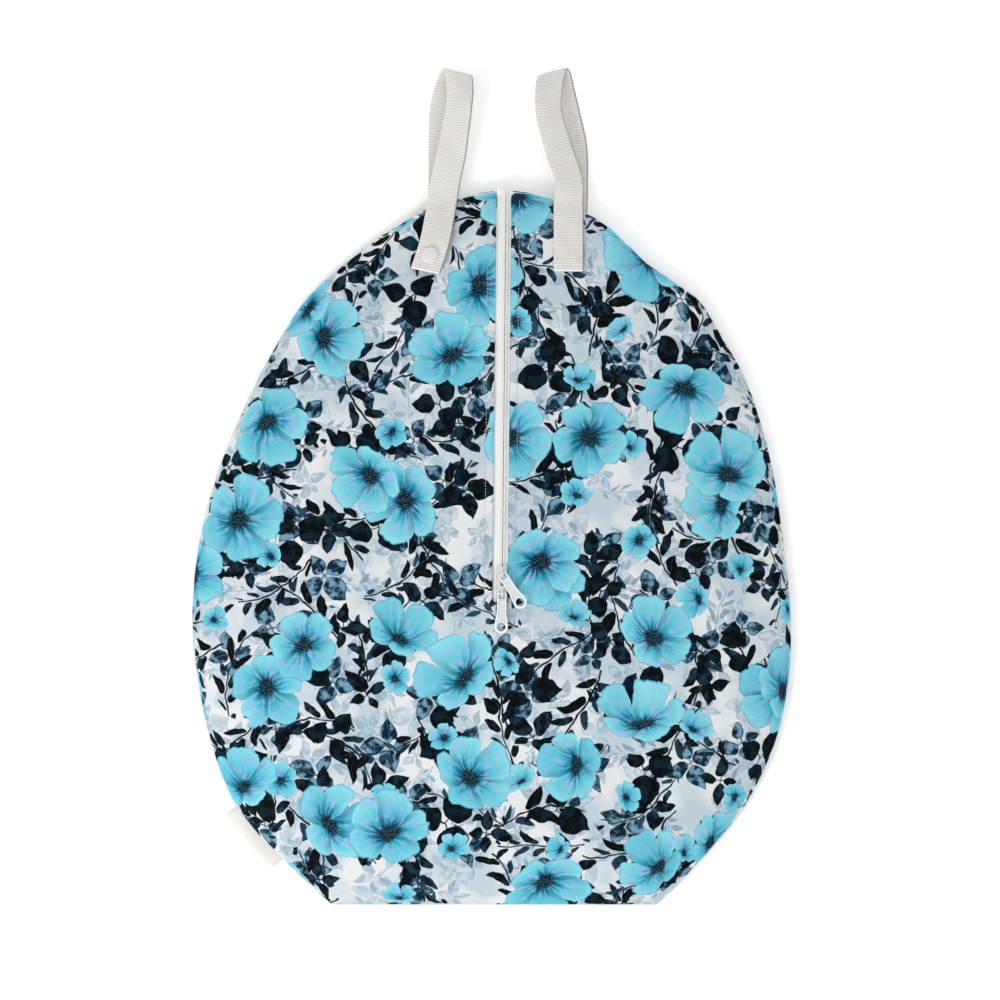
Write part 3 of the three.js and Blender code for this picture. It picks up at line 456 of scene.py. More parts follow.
def slit_edge(y, side):
    """Edge of the slit, rounded at its lower corner."""
    radius = ROUND_LEFT if side < 0 else ROUND_RIGHT
    up_corner = np.clip(1 - (y - SLIT_END) / radius, 0, 1)
    return slit_middle(y) + side * (SLIT_WIDTH / 2 - radius * (1 - np.sqrt(1 - up_corner**2)))


def at_height(edge, y):
    """Where an edge of the egg is at a height up the bag."""
    return np.interp(y, edge[:, 1], edge[:, 0])


steps = np.linspace(0, 1, FRONT_ROWS)
rows = BAG_LENGTH * (0.6 * 0.5 * (1 - np.cos(np.pi * steps)) + 0.4 * steps)
rows = rows[np.abs(rows - SLIT_END) > 1.2 * MM]
rows = np.unique(np.round(np.concatenate([rows, SLIT_END + NEAR_END]), 6))[:, None]

t = np.linspace(0, 1, HALF_COLUMNS)
spread = t - 0.8 * np.sin(2 * np.pi * t) / (2 * np.pi)
x_left, x_right = at_height(LEFT_EDGE, rows), at_height(RIGHT_EDGE, rows)
cut_left = np.maximum(slit_edge(rows, -1), x_left + 0.2 * MM)
cut_right = np.minimum(slit_edge(rows, 1), x_right - 0.2 * MM)
strip = np.linspace(0, 1, SLIT_COLUMNS + 1)[None, 1:-1]
x = np.concatenate([x_left + (cut_left - x_left) * spread,
                    cut_left + (cut_right - cut_left) * strip,
                    x_right + (cut_right - x_right) * spread[::-1]], axis=1)
y = np.broadcast_to(rows, x.shape)
print("front grid", x.shape)

# %% Heights, hem and print map of the front panel
PRINT_SQUEEZE = 0.026               # how much the print is pushed outwards at the seam


def hem_profile(distance):
    """Height of the turned-in edge: it rolls down at the slit, is one more cloth thick up to the
    stitching and has a groove there."""
    roll = 1.1 * MM
    lip = np.clip(1 - distance / roll, 0, 1)
    band = 0.5 * MM * smooth((HEM - distance) / (2 * MM))
    groove = 0.45 * MM * bell((distance - HEM) / (0.9 * MM))
    return band - groove - roll * (1 - np.sqrt(1 - lip**2))


def meet_seam(z, seam_height):
    """Heights of a grid with its outermost points put on the seam."""
    inner = np.zeros(z.shape, dtype=bool)
    inner[1:-1, 1:-1] = True
    return np.where(inner, z, seam_height)


def print_map(x, y, z, row, column):
    """Distance along the cloth from one row and one column of the grid, in metres."""
    across = np.hypot(np.diff(x, axis=1), np.diff(z, axis=1))
    along = np.hypot(np.diff(y, axis=0), np.diff(z, axis=0))
    u = np.pad(np.cumsum(across, axis=1), ((0, 0), (1, 0)))
    v = np.pad(np.cumsum(along, axis=0), ((1, 0), (0, 0)))
    u = u - u[:, column:column + 1] + x[:, column:column + 1]
    return np.stack([u, v - v[row:row + 1] + y[row:row + 1]], axis=-1)


above_end = np.maximum(y, SLIT_END + ROUND_LEFT)
gap_x = np.maximum(slit_edge(above_end, -1) - x, x - slit_edge(above_end, 1))
distance = np.hypot(np.maximum(gap_x, 0), np.maximum(SLIT_END - y, 0))
share, seam_height, _ = dome(x, y)
z = front_height(x, y) + hem_profile(distance) * (1 - np.clip(share, 0, 1) ** 24)
# the zip tape gathers the cloth beside it into slow waves
waves = np.sin(y / (11 * MM)) * np.sin(y / (29 * MM))
z = meet_seam(z + 0.5 * MM * waves * bell(distance / (16 * MM)), seam_height)

end_row = int(np.argmin(np.abs(rows[:, 0] - SLIT_END)))
uv = print_map(x, y, z, end_row, HALF_COLUMNS + 3)
# the outer ring of cloth turns down towards the seam, so seen from above its print is squeezed
turned = PRINT_SQUEEZE * np.clip((share - 0.95) / 0.05, 0, 1) ** 2
uv += turned[..., None] * np.stack([x, y - BAG_LENGTH / 2], axis=-1)
keep = np.ones((x.shape[0] - 1, x.shape[1] - 1), dtype=bool)
keep[end_row:, HALF_COLUMNS - 1:HALF_COLUMNS - 1 + SLIT_COLUMNS] = False
front = skin("front_cloth", in_frame(x, y, z), uv=uv, keep=keep)
thicken(front, CLOTH, inner=1)
print("front cloth top", round(float(z.max()) / MM, 1), "mm")

# %% [markdown]
# ## The back panel
# The same cloth without a slit, resting on the table. It is a plain sheet that curls up to meet
# the front at the seam, so a coarser grid is enough.

# %% Back panel
BACK_ROWS, BACK_COLUMNS, RIPPLE = 110, 120, 0.7 * MM
rows = BAG_LENGTH * (0.5 * (1 - np.cos(np.pi * np.linspace(0, 1, BACK_ROWS))))[:, None]
s = np.linspace(0, 1, BACK_COLUMNS)[None, :]
s = s - 0.6 * np.sin(2 * np.pi * s) / (2 * np.pi)
x = at_height(LEFT_EDGE, rows) * (1 - s) + at_height(RIGHT_EDGE, rows) * s
y = np.broadcast_to(rows, x.shape)
share, seam_height, _ = dome(x, y)
ripple = 0.5 * (1 + np.sin(x / (23 * MM) + 3 * np.sin(y / (90 * MM))) * np.sin(y / (37 * MM)))
ripple = RIPPLE * ripple * np.clip(share * 2 - 0.6, 0, 1) * (1 - share**8)
z = meet_seam(back_height(x, y) + ripple, seam_height)
back_uv = print_map(x, y, z, BACK_ROWS // 2, BACK_COLUMNS // 2)[:, ::-1]
back = skin("back_cloth", in_frame(x, y, z)[:, ::-1], uv=back_uv)
thicken(back, CLOTH, inner=1)
print("back cloth low", round(float(z.min()) / MM, 2), "mm")

# %% [markdown]
# ## The print on the cloth
# The cloth is knitted polyester, printed with dyes and coated on its inner side. The print is a
# loose flower and leaf pattern in turquoise, slate and near black on a cool white ground. Each
# kind of motif is one node group that draws all its flowers or leaves at once: a cell texture
# scatters the centres and gives each its own random numbers, and the motif is drawn round the
# centre. The groups paint over each other from the palest to the brightest, as a printer lays
# its screens. All sizes are in millimetres on the flat cloth.

# %% A group that paints over a colour
FULL_TURN, PETALS = 6.2832, 5


def motif(name, inputs):
    """An empty node group with a point, the shared noises and a colour to paint over, further
    inputs, and the painted colour."""
    group = bpy.data.node_groups.new(name, "ShaderNodeTree")
    kinds = {"Point": "Vector", "Wobble": "Vector", "Under": "Color", "Dark": "Color",
             "Light": "Color"}
    titles = ["Point", "Wobble", "Patch", "Under"] + inputs
    for title in titles:
        group.interface.new_socket(title, in_out="INPUT",
                                   socket_type="NodeSocket" + kinds.get(title, "Float"))
    group.interface.new_socket("Painted", in_out="OUTPUT", socket_type="NodeSocketColor")
    entry = group.nodes.new("NodeGroupInput")
    leave = group.nodes.new("NodeGroupOutput")
    return group, {title: Value(group, entry, title) for title in titles}, leave


def scatter(tree, place, loose):
    """Turn the cloth's plane, scatter centres over it, and give the point as seen from its
    centre, turned by the centre's own angle, with its three random numbers."""
    turned = add(tree, "VectorRotate", place["Point"], None, place["Turn"],
                 rotation_type="Z_AXIS")
    density = add(tree, "Math", 1.0, place["Spacing"], operation="DIVIDE")
    cells = add(tree, "TexVoronoi", turned, density, 0.0, 0.5, 2.0, loose,
                voronoi_dimensions="2D")
    away = place["Wobble"].vector("ADD", turned.vector("SUBTRACT", cells.take("Position")))
    chance = add(tree, "SeparateColor", cells.take("Color"))
    red, green, blue = (chance.take(name) for name in ("Red", "Green", "Blue"))
    local = add(tree, "VectorRotate", away, None, red * FULL_TURN, rotation_type="Z_AXIS")
    return local, red, green, blue


def polar(tree, point):
    """Distance from the centre and angle round it."""
    parts = add(tree, "SeparateXYZ", point)
    return point.vector("LENGTH"), parts.take("Y").maths("ARCTAN2", parts.take("X"))


def chance_at(tree, dimensions, *key):
    """A random number of its own for each cell that a key names."""
    return add(tree, "TexWhiteNoise", add(tree, "CombineXYZ", *key), noise_dimensions=dimensions)


# %% [markdown]
# A blossom is five broad petals. The angle round the centre is cut into five sectors; in each
# the petal's rim is furthest out in the middle and falls back at the sides. A blossom that faces
# aside is the same with its centre pushed off and its face narrowed: the push fades to nothing
# at the rim, with the square of one less the squared distance, so no petal folds back on itself.
# Petals are darkest at their root and where one tucks under the next, creases run out from the
# centre, and the dye pools lilac in places.

# %% Blossoms: petals
blossom, place, leave = motif("blossoms", ["Turn", "Spacing", "Radius", "Tilt", "Count"])
local, red, green, blue = scatter(blossom, place, 0.36)
radius = place["Radius"] * green.between(0.0, 1.0, 0.80, 1.10)
unit = local.vector("SCALE", add(blossom, "Math", 1.0, radius, operation="DIVIDE"))
lean = blue.between(0.0, 1.0, 0.08, 1.0) * place["Tilt"]
unit = unit.vector("MULTIPLY", add(blossom, "CombineXYZ", 1.0, lean * 0.60 + 1.0, 1.0))
push = unit.vector("DOT_PRODUCT", unit).between(0.0, 1.0, 1.0, 0.0)
shift = add(blossom, "CombineXYZ", 0.0, push * push * lean, 0.0)
far, theta = polar(blossom, unit.vector("SUBTRACT", shift))
sector = theta * (PETALS / FULL_TURN) + 10.0
across = sector.maths("FRACT") - 0.5
own = chance_at(blossom, "2D", sector.maths("FLOOR"), red, 0.0)
rim = own * 0.17 + (abs(across) ** 3.8 * -3.4 + 0.90)
ruffle_at = add(blossom, "CombineXYZ", sector, green, 0.0)
ruffle = add(blossom, "TexNoise", ruffle_at, 3.6, 3.0, noise_dimensions="2D")
rim = ruffle * 0.18 + rim - 0.09
mask = (rim - far).between(0.0, 0.025) * (red < place["Count"])
out = far / rim
print("blossom outline nodes", len(blossom.nodes))

# %% Blossoms: colour
petal = add(blossom, "ValToRGB", out)
stops = petal.node.color_ramp.elements
stops[0].color, stops[1].color = ink("#08293a"), ink("#8fdae5")
for spot, code in ((0.21, "#0a4f70"), (0.34, "#1f88ab"), (0.50, "#4fb2ca"), (0.78, "#74c9d6")):
    stops.new(spot).color = ink(code)
petal = place["Patch"].between(0.47, 0.64, 0.0, 0.62).blend(petal, "#98b9e0")
petal = own.between(0.45, 1.0, 0.0, 0.45).blend(petal, "#45adc6")
# creases run outwards: noise that is narrow round the centre and long along the petal
streak_at = add(blossom, "CombineXYZ", blue * 60.0 + sector, out, 0.0)
streak_at = streak_at.vector("MULTIPLY", (7.5, 1.5, 0.0))
streak = add(blossom, "TexNoise", streak_at, 1.0, 2.0, noise_dimensions="2D")
crease = streak.between(0.53, 0.59) * out.between(0.24, 0.62, 1.0, 0.0)
petal = crease.blend(petal, "#084a66")
petal = streak.between(0.44, 0.34, 0.0, 0.22).blend(petal, "#9bdbe6")
# one edge of a petal tucks under its neighbour, and the rim is a thin darker line
tuck = across.between(0.26, 0.5, 0.0, 0.85)
tuck = tuck.maths("MAXIMUM", across.between(-0.5, -0.46, 0.85, 0.0))
petal = (tuck * out.between(0.50, 1.0, 1.0, 0.25)).blend(petal, "#0c5f7f")
petal = out.between(0.945, 0.985, 0.0, 0.75).blend(petal, "#2590b0")
# the eye of the flower: dark, ragged, with a ring of stamens
hairs = add(blossom, "TexNoise", streak_at, 2.6, 1.0, noise_dimensions="2D")
eye = (hairs * 0.30 + 0.11 - far).between(-0.02, 0.04, 0.0, 0.96)
petal = eye.blend(petal, "#06141c")
stamen = add(blossom, "TexVoronoi", place["Point"], 0.55, voronoi_dimensions="2D")
stamen = stamen.between(0.24, 0.38, 0.45, 0.0) * far.between(0.20, 0.27, 1.0, 0.0)
petal = stamen.blend(petal, "#3b7490")
mask.blend(place["Under"], petal).into(leave, "Painted")
print("blossom nodes", len(blossom.nodes))

# %% [markdown]
# A sprig is a thin bent stem with leaves on both sides. Lines that lean up from the stem cut
# the plane into slanting bands, one leaf to a band. A leaf's width is a root of the way along it
# times what is left of the way, so it is round at its stalk and pointed at its tip. The bands of
# the two sides are half a step apart, as leaves grow.

# %% Sprigs


def paint_leaves(mask, shade, blue, place, leave):
    """The chosen motifs over the colour below, in their two inks."""
    mask = mask * (blue < place["Count"]) * place["Strength"]
    leaf_ink = shade.blend(place["Dark"], place["Light"])
    mask.blend(place["Under"], leaf_ink).into(leave, "Painted")


sprig, place, leave = motif("sprigs", ["Turn", "Spacing", "Half", "Pitch", "Leaf", "Width",
                                       "Stem", "Count", "Strength", "Dark", "Light"])
local, red, green, blue = scatter(sprig, place, 0.3)
parts = add(sprig, "SeparateXYZ", local)
tall = parts.take("Y")
side_x = tall * tall * ((green - 0.5) * 0.020) + parts.take("X")
away, side = abs(side_x), side_x.maths("SIGN")
lift = side * 0.25 + (away * -0.95 + tall) / place["Pitch"]
number = lift.maths("FLOOR")
own = chance_at(sprig, "3D", number, side, red)
band = lift - number + own.between(0.0, 1.0, -0.60, -0.40)
perp = abs(band * place["Pitch"] * 0.725)
end = abs((number + 0.5) * place["Pitch"]) / place["Half"]
grown = own.between(0.0, 1.0, 1.2, 0.75) * end.between(0.3, 1.0, 1.0, 0.6)
along = (away * 1.38 - 1.6).maths("DIVIDE", place["Leaf"] * grown, use_clamp=True)
belly = along ** 0.6 * along.between(0.0, 1.0, 2.62, 0.0) * (place["Width"] * grown)
leaf = (belly - perp).between(0.0, 0.5) * (end < 1.0)
twig = (place["Stem"] - away).between(-0.25, 0.25) * (abs(tall) < place["Half"])
shade = (own * 0.5 + place["Patch"]).between(0.70, 1.0)
shade = shade.maths("MAXIMUM", perp.between(0.15, 0.5, 0.30, 0.0))
paint_leaves(leaf.maths("MAXIMUM", twig), shade, blue, place, leave)
print("sprig nodes", len(sprig.nodes))

# %% [markdown]
# A cluster is three to five broad leaves round one point, in uneven watercolour: dark at the
# rim and along the veins and bleached in patches between them.

# %% Leaf clusters
cluster, place, leave = motif("leaf_clusters", ["Turn", "Spacing", "Leaf", "Width", "Leaves",
                                                "Count", "Strength", "Dark", "Light"])
local, red, green, blue = scatter(cluster, place, 0.4)
far, theta = polar(cluster, local)
sector = theta / FULL_TURN * place["Leaves"] + 10.0
number = sector.maths("FLOOR")
own = chance_at(cluster, "2D", number, red, 0.0)
across = sector - number + own.between(0.0, 1.0, -0.62, -0.38)
angle_in = across * FULL_TURN / place["Leaves"]
perp = abs(angle_in.maths("SINE") * far)
grown = own.between(0.0, 1.0, 1.1, 0.55)
past = angle_in.maths("COSINE") * far - place["Leaf"] * 0.16
along = past.maths("DIVIDE", place["Leaf"] * grown, use_clamp=True)
belly = along ** 0.55 * along.between(0.0, 1.0, 2.55, 0.0) * (place["Width"] * grown)
room = belly - perp
stalk = perp.between(0.25, 0.75, 1.0, 0.0) * past.between(0.0, 1.0, 1.0, 0.0)
bleach = place["Patch"].between(0.45, 0.60) * room.between(0.3, 1.8)
bleach = bleach.maths("MAXIMUM", perp.between(0.1, 0.5, 0.3, 0.0))
paint_leaves(room.between(0.0, 0.5).maths("MAXIMUM", stalk), bleach, blue, place, leave)
print("cluster nodes", len(cluster.nodes))

# %% [markdown]
# ## The cloth's material
# Printed polyester knit has a soft sheen and a fine, even surface: its stitches are 0.4 mm,
# too fine to show, so the bump is drawn at 1.1 mm. The dye lies in the yarn, so the darkest leaves
# stay nearly black: the cloth throws back very little light of its own. All the layers share two
# noises, a slow one that bends the motifs and a blotchy one for the watercolour.

# %% Printed polyester knit
printed_knit, tree, shader = new_material("printed_polyester_knit", Roughness=0.62,
                                          Specular_IOR_Level=0.05, Sheen_Weight=0.015,
                                          Sheen_Roughness=0.4)
# disperse-dyed knit: matt with a faint sheen at the edges, no coat on this side
point = cloth_place(tree)
bending, blotches, ground = (add(tree, "TexNoise", point, scale, detail, noise_dimensions="2D")
                             for scale, detail in ((0.045, 2.0), (0.12, 4.0), (0.022, 3.0)))
bending = bending.take("Color").vector("SUBTRACT", (0.5, 0.5, 0.5))
bending = bending.vector("MULTIPLY", (9.0, 9.0, 0.0))
colour = ground.between(0.38, 0.62).blend("#dcdfe1", "#b9c8d0")
# each layer's numbers are its group's own inputs in their order, in millimetres and radians
for group, *numbers in (
        (cluster, 0.5, 50, 24, 8.0, 4, 0.95, 0.75, "#9fb5c0", "#c0ced5"),
        (cluster, 1.9, 38, 16, 4.6, 5, 0.9, 0.7, "#7f9eb0", "#bccbd4"),
        (sprig, 2.6, 60, 30, 10, 11, 2.5, 0.45, 0.85, 0.8, "#6f8fa2", "#a9bdc9"),
        (cluster, 0.9, 62, 22, 8.5, 4, 0.85, 1.0, "#0b2536", "#6f97ae"),
        (sprig, 0.35, 84, 44, 19, 21, 5.2, 0.85, 1.0, 1.0, "#02070a", "#1f3a4a"),
        (sprig, 2.1, 74, 38, 15, 16, 4.1, 0.75, 1.0, 1.0, "#02080c", "#27485a"),
        (cluster, 1.3, 70, 22, 7.6, 4, 0.9, 1.0, "#02070b", "#14303e"),
        (cluster, 2.9, 88, 27, 12.5, 3, 0.85, 1.0, "#01080c", "#0a1f2a"),
        (blossom, 0.8, 70, 15, 0.55, 0.55),
        (blossom, 1.25, 132, 38, 0.60, 1.0),
        (blossom, 0.45, 128, 38, 0.42, 1.0)):
    colour = add(tree, "Group", point, bending, blotches, colour, *numbers, node_tree=group)
colour.into(shader, "Base Color")
emboss(shader, add(tree, "TexWave", point, 0.285).take("Fac"), 0.10, 0.0002)
print("cloth material nodes", len(tree.nodes))

# %% Polyurethane laminate, the inner side
# a thin film on the knit's inner side: white and slightly glossy
laminate, _, _ = clouded("polyurethane_laminate", 60.0, 3.0, "#e9ebea", "#dde0df",
                         Roughness=0.38)

dress(front, printed_knit, "bag_cloth", "front_panel")
dress(back, printed_knit, "bag_cloth", "back_panel")
front.data.materials.append(laminate)
back.data.materials.append(laminate)

# %% [markdown]
# ## The handles
# Each handle is one length of inch-wide webbing. It starts on the front, runs up over the top
# edge, folds over and comes back under the bag. A table gives its middle line and how its width
# is turned; the curve through the table is then lifted to lie on the cloth, or pressed down
# under it, exactly as the solid is. The webbing itself is a flat closed tube with rounded edges.

# %% Sizes and tables of the handles
WEBBING_WIDTH, WEBBING = 25.4 * MM, 1.6 * MM
HANDLE_DROP, HANDLE_REACH, HANDLE_LOFT = 68 * MM, 171 * MM, 15 * MM
HANDLE_LEFT, HANDLE_RIGHT = -56 * MM, 65.4 * MM
SNAP_INSET, CAP_DIAMETER, CAP_HEIGHT = 12.6 * MM, 14.5 * MM, 2.6 * MM
FIT, STUD, SOCKET = 0.3 * MM, 0.9 * MM, 1.9 * MM
STRAP_FOOT = BAG_LENGTH - HANDLE_DROP
SNAP_STACK = FIT + STUD + FIT + SOCKET + FIT       # cloth to the webbing over the snap
FOLD_ROW = 9                                       # the row at the top fold
EDGE_SAG, PINCH = 0.7 * MM, 0.75 * MM              # soft edges; the hollow round the snap
REST = 0.62 * WEBBING                              # the middle surface above what it lies on
# along, aside (shares of the reach), loft (share of the loft), skew, roll (degrees)
LEFT_STRAP = np.array([
    (0.000, 0.000, 1.00, -12, 0), (0.139, 0.044, 1.00, -12, 0), (0.262, 0.069, 1.00, -11, 0),
    (0.446, 0.099, 1.00, -10, 4), (0.574, 0.126, 1.00, -11, 10), (0.688, 0.146, 1.05, -10, 20),
    (0.820, 0.167, 1.16, -9, 30), (0.900, 0.171, 0.94, -10, 24), (0.965, 0.165, 0.60, -12, 14),
    (0.994, 0.158, 0.40, -14, 6), (0.975, 0.146, 0.14, -16, 0), (0.920, 0.122, 0.00, -16, 0),
    (0.820, 0.096, 0.00, -9, 0), (0.640, 0.087, 0.00, -2, 0), (0.440, 0.087, 0.03, -2, 0),
    (0.240, 0.080, 0.20, -2, 0), (0.040, 0.074, 0.30, -2, 0)])
RIGHT_STRAP = np.array([
    (0.000, 0.000, 1.00, 0, 0), (0.200, 0.000, 1.00, 0, 0), (0.330, 0.000, 1.00, 2, -4),
    (0.450, 0.002, 1.00, 8, -22), (0.574, -0.037, 1.00, 15, -18), (0.688, -0.072, 1.06, 14, -24),
    (0.797, -0.099, 1.16, 8, -28), (0.895, -0.098, 0.95, 6, -24), (0.965, -0.088, 0.60, 11, -12),
    (0.994, -0.076, 0.40, 14, -5), (0.975, -0.062, 0.14, 12, 0), (0.900, -0.044, 0.00, 12, 0),
    (0.800, -0.020, 0.00, 10, 0), (0.624, 0.018, 0.00, 4, 0), (0.440, 0.023, 0.03, 0, 0),
    (0.240, 0.018, 0.20, 0, 0), (0.040, 0.008, 0.30, 0, 0)])
ROWS_A_STEP, STRAP_COLUMNS = 18, 17

# %% The middle surface of a handle


def crossing(x, y, reach):
    """A point and the four points a reach to its sides."""
    around = np.array([(0, 0), (reach, 0), (-reach, 0), (0, reach), (0, -reach)])
    return [(x + dx, y + dy) for dx, dy in around]


def nearby(height, x, y):
    """Heights at a point and a little to each side of it; none outside the seam."""
    return [np.where(dome(*spot)[0] <= 1, height(*spot), np.nan)
            for spot in crossing(x, y, 3 * MM)]


def plain_front(x, y):
    """The front without its fine folds, which is what rests under the straps."""
    return front_height(x, y, folds=False)


def strap_surface(table, foot_x, lift):
    """A grid along the handle and across it: the curve through the table plus the width, turned
    by skew and roll, lifted onto the front or pressed under the back."""
    along, aside, loft, skew, roll = table.T
    line = spline(np.stack([foot_x + aside * HANDLE_REACH, STRAP_FOOT + along * HANDLE_REACH,
                            WEBBING / 2 + loft * HANDLE_LOFT], 1), ROWS_A_STEP)
    place = np.arange(len(line)) / ROWS_A_STEP
    skew, roll = (np.radians(np.interp(place, np.arange(len(table)), v)) for v in (skew, roll))
    width = np.stack([np.cos(skew) * np.cos(roll), np.sin(skew) * np.cos(roll), np.sin(roll)], 1)
    across = np.linspace(-0.5, 0.5, STRAP_COLUMNS)[None, :, None] * WEBBING_WIDTH
    x, y, z = np.moveaxis(line[:, None, :] + across * width[:, None, :], -1, 0)
    over = np.nanmax([*nearby(plain_front, x, y), np.full(x.shape, -1.0)], axis=0)
    under = np.nanmin([*nearby(back_height, x, y), np.full(x.shape, 1.0)], axis=0)
    clear = lift((y - STRAP_FOOT) / HANDLE_REACH) + REST
    front_part = np.maximum(z, np.where(over > -0.5, over + clear, -1))
    back_part = np.maximum(np.minimum(z, np.where(under < 0.5, under - FIT - REST, 1)),
                           WEBBING / 2)
    z = np.where((place <= FOLD_ROW)[:, None], front_part, back_part)
    soft = np.array([1, 4, 7, 4, 1]) / 17
    padded = np.pad(z, ((2, 2), (0, 0)), mode="edge")
    z = sum(weight * padded[n:n + len(z)] for n, weight in enumerate(soft))
    z = z - EDGE_SAG * np.abs(np.linspace(-1, 1, STRAP_COLUMNS)) ** 8
    return in_frame(x, y, np.maximum(z, 0.6 * WEBBING))


def left_lift(along):
    """The left end stands on the snap and comes down to the cloth beyond it."""
    start = (SNAP_INSET + CAP_DIAMETER / 2) / HANDLE_REACH
    reach = 2.6 * CAP_DIAMETER / HANDLE_REACH
    return SNAP_STACK + (FIT - SNAP_STACK) * smooth((along - start) / reach)


def pinched(surface):
    """The snap pinches the webbing: a ring-shaped hollow round the cap, a bell in the distance
    from it, with seven puckers that run outwards."""
    x = surface[..., 0] - SIDE - HANDLE_LEFT - SNAP_INSET * 0.317
    y = surface[..., 1] - FOOT - STRAP_FOOT - SNAP_INSET
    ring = bell((np.hypot(x, y) - 9.5 * MM) / (2.6 * MM))
    pulled = surface.copy()
    pulled[..., 2] -= PINCH * ring * (1 + 0.6 * np.sin(7 * np.arctan2(y, x)))
    return pulled


left_surface = pinched(strap_surface(LEFT_STRAP, HANDLE_LEFT, left_lift))
right_surface = strap_surface(RIGHT_STRAP, HANDLE_RIGHT, lambda along: FIT + 0 * along)
print("strap grids", left_surface.shape, right_surface.shape)

# %% A strap with a wall round its middle surface


def strap_body(name, surface):
    """A closed flat tube. Its section is a very flat oval, the thickness times the root of one
    less the eighth power of the place across, laid on both sides of the middle surface."""
    columns = surface.shape[1]
    normals = unit_vectors(np.cross(np.gradient(surface, axis=1), np.gradient(surface, axis=0)))
    place = np.sin(np.linspace(-np.pi / 2, np.pi / 2, 25)) / 2          # closer near the edges
    spot = (place + 0.5) * (columns - 1)
    low = np.clip(spot.astype(int), 0, columns - 2)
    share = (spot - low)[None, :, None]
    middle, normal = (v[:, low] * (1 - share) + v[:, low + 1] * share for v in (surface, normals))
    normal = unit_vectors(normal)
    half = 0.5 * WEBBING * np.sqrt(np.clip(1 - (2 * np.abs(place)) ** 8, 0, 1))[None, :, None]
    grid = np.concatenate([middle + half * normal, (middle - half * normal)[:, -2:0:-1]], axis=1)
    u = np.concatenate([place, place[-2:0:-1], place[:1]])[None, :] * WEBBING_WIDTH
    v = distances(surface[:, columns // 2])[:, None]
    uv = np.stack(np.broadcast_arrays(u, v), axis=-1)
    return skin(name, grid, uv=uv, wrap=True, caps=True)


left_handle = strap_body("left_handle", left_surface)
right_handle = strap_body("right_handle", right_surface)

# %% [markdown]
# Polypropylene webbing is woven with thick crosswise ribs, 2.2 mm apart, and each rib is a row
# of short floats, 1.45 mm wide and set half a float aside from rib to rib, as bricks are. The
# pattern follows the strap by its UV map, and the gaps between ribs and floats are painted shade.
# The front end was cut with a hot knife, which melts the yarn into a smooth white bead a
# millimetre wide. A thin darker band along the strap's right edge is painted shade.

# %% Polypropylene webbing
RIB, FLOAT = 2.2 * MM, 1.45 * MM
webbing, tree, shader = new_material("polypropylene_webbing", Roughness=0.8,
                                     Specular_IOR_Level=0.3, Sheen_Weight=0.1)
# multifilament yarn, undyed off-white and matt; the grey gaps between the ribs are painted shade
strap_uv = add(tree, "SeparateXYZ", add(tree, "UVMap", uv_map="cloth"))
rib = strap_uv.take("Y") * (1 / RIB)
odd = rib.maths("FLOOR").maths("FLOORED_MODULO", 2.0)
yarn = odd * 0.5 + strap_uv.take("X") * (1 / FLOAT)
over_rib, over_yarn = (abs((part * 3.1416).maths("SINE")) for part in (rib, yarn))
weave = (over_rib * over_yarn.between(0.0, 0.7, 0.40, 1.0)).between(0.0, 0.75)
yarn_colour = object_noise(tree, 55.0, 3.0).blend("#dedad6", "#f3f0ee")
# painted shade: the weave's low places, the gaps between ribs and floats, take a grey
webbing_colour = weave.blend("#c9c4bf", yarn_colour)
bead = strap_uv.take("Y").between(1.0 * MM, 1.4 * MM, 1.0, 0.0)
webbing_colour = bead.blend(webbing_colour, "#fbfaf8")
# painted shade: a darker band along the strap's right edge
painted_edge_shade = strap_uv.take("X").between(11.3 * MM, 12.0 * MM, 0.0, 0.85)
painted_edge_shade.blend(webbing_colour, "#857d76").into(shader, "Base Color")
emboss(shader, weave, 0.6, 0.0004)

dress(left_handle, webbing, "webbing", "handle_left")
dress(right_handle, webbing, "webbing", "handle_right")

# %% [markdown]
# ## The zip
# Two white tapes lie under the slit's edges and carry a nylon coil. A coil is a wound filament:
# from above each turn is a short rounded bar, and the bars of the two sides interlock in the
# middle. The bars are one small shape, a few dozen faces, repeated along the chain's line.

# %% Tapes under the slit
TAPE_WIDTH, TAPE, TAPE_BELOW, ZIP_PROUD = 17 * MM, 0.7 * MM, 15 * MM, 3 * MM
TAPE_UNDER, TAPE_OVER_SEAM, TAPE_EDGE = 2.2 * MM, 0.9 * MM, 0.2 * MM
TAPE_ROWS, TAPE_COLUMNS = 220, 13


def chain_line(y):
    """The chain lies a little right of the slit's middle."""
    return slit_middle(y) + CHAIN_ASIDE


def tape_height(x, y):
    """Under the cloth by its wall and a little more, and above the seam at the top edge."""
    under = np.where(dome(x, y)[0] < 1, plain_front(x, y), 0) - TAPE_UNDER
    return np.maximum(under, SEAM_HEIGHT + TAPE_OVER_SEAM)


def tape_surface(side):
    """From the chain's middle outwards, narrowing to the slit at the top edge."""
    narrow = smooth((zip_rows - (BAG_LENGTH - 24 * MM)) / (12 * MM))
    slit_reach = SLIT_WIDTH / 2 - side * CHAIN_ASIDE - 0.5 * MM
    reach = TAPE_WIDTH + (slit_reach - TAPE_WIDTH) * narrow
    share = np.linspace(0, 1, TAPE_COLUMNS)[None, :]
    x = chain_line(zip_rows) + side * (TAPE_EDGE + (reach - TAPE_EDGE) * share)
    y = np.broadcast_to(zip_rows, x.shape)
    grid = in_frame(x, y, tape_height(x, y))
    return grid if side > 0 else grid[:, ::-1]


def tape_uv(grid):
    """Distance from the chain's middle and place up the tape, in metres."""
    u = np.abs(grid[..., 0] - SIDE - chain_line(grid[..., 1] - FOOT))
    return np.stack([u, grid[..., 1]], axis=-1)


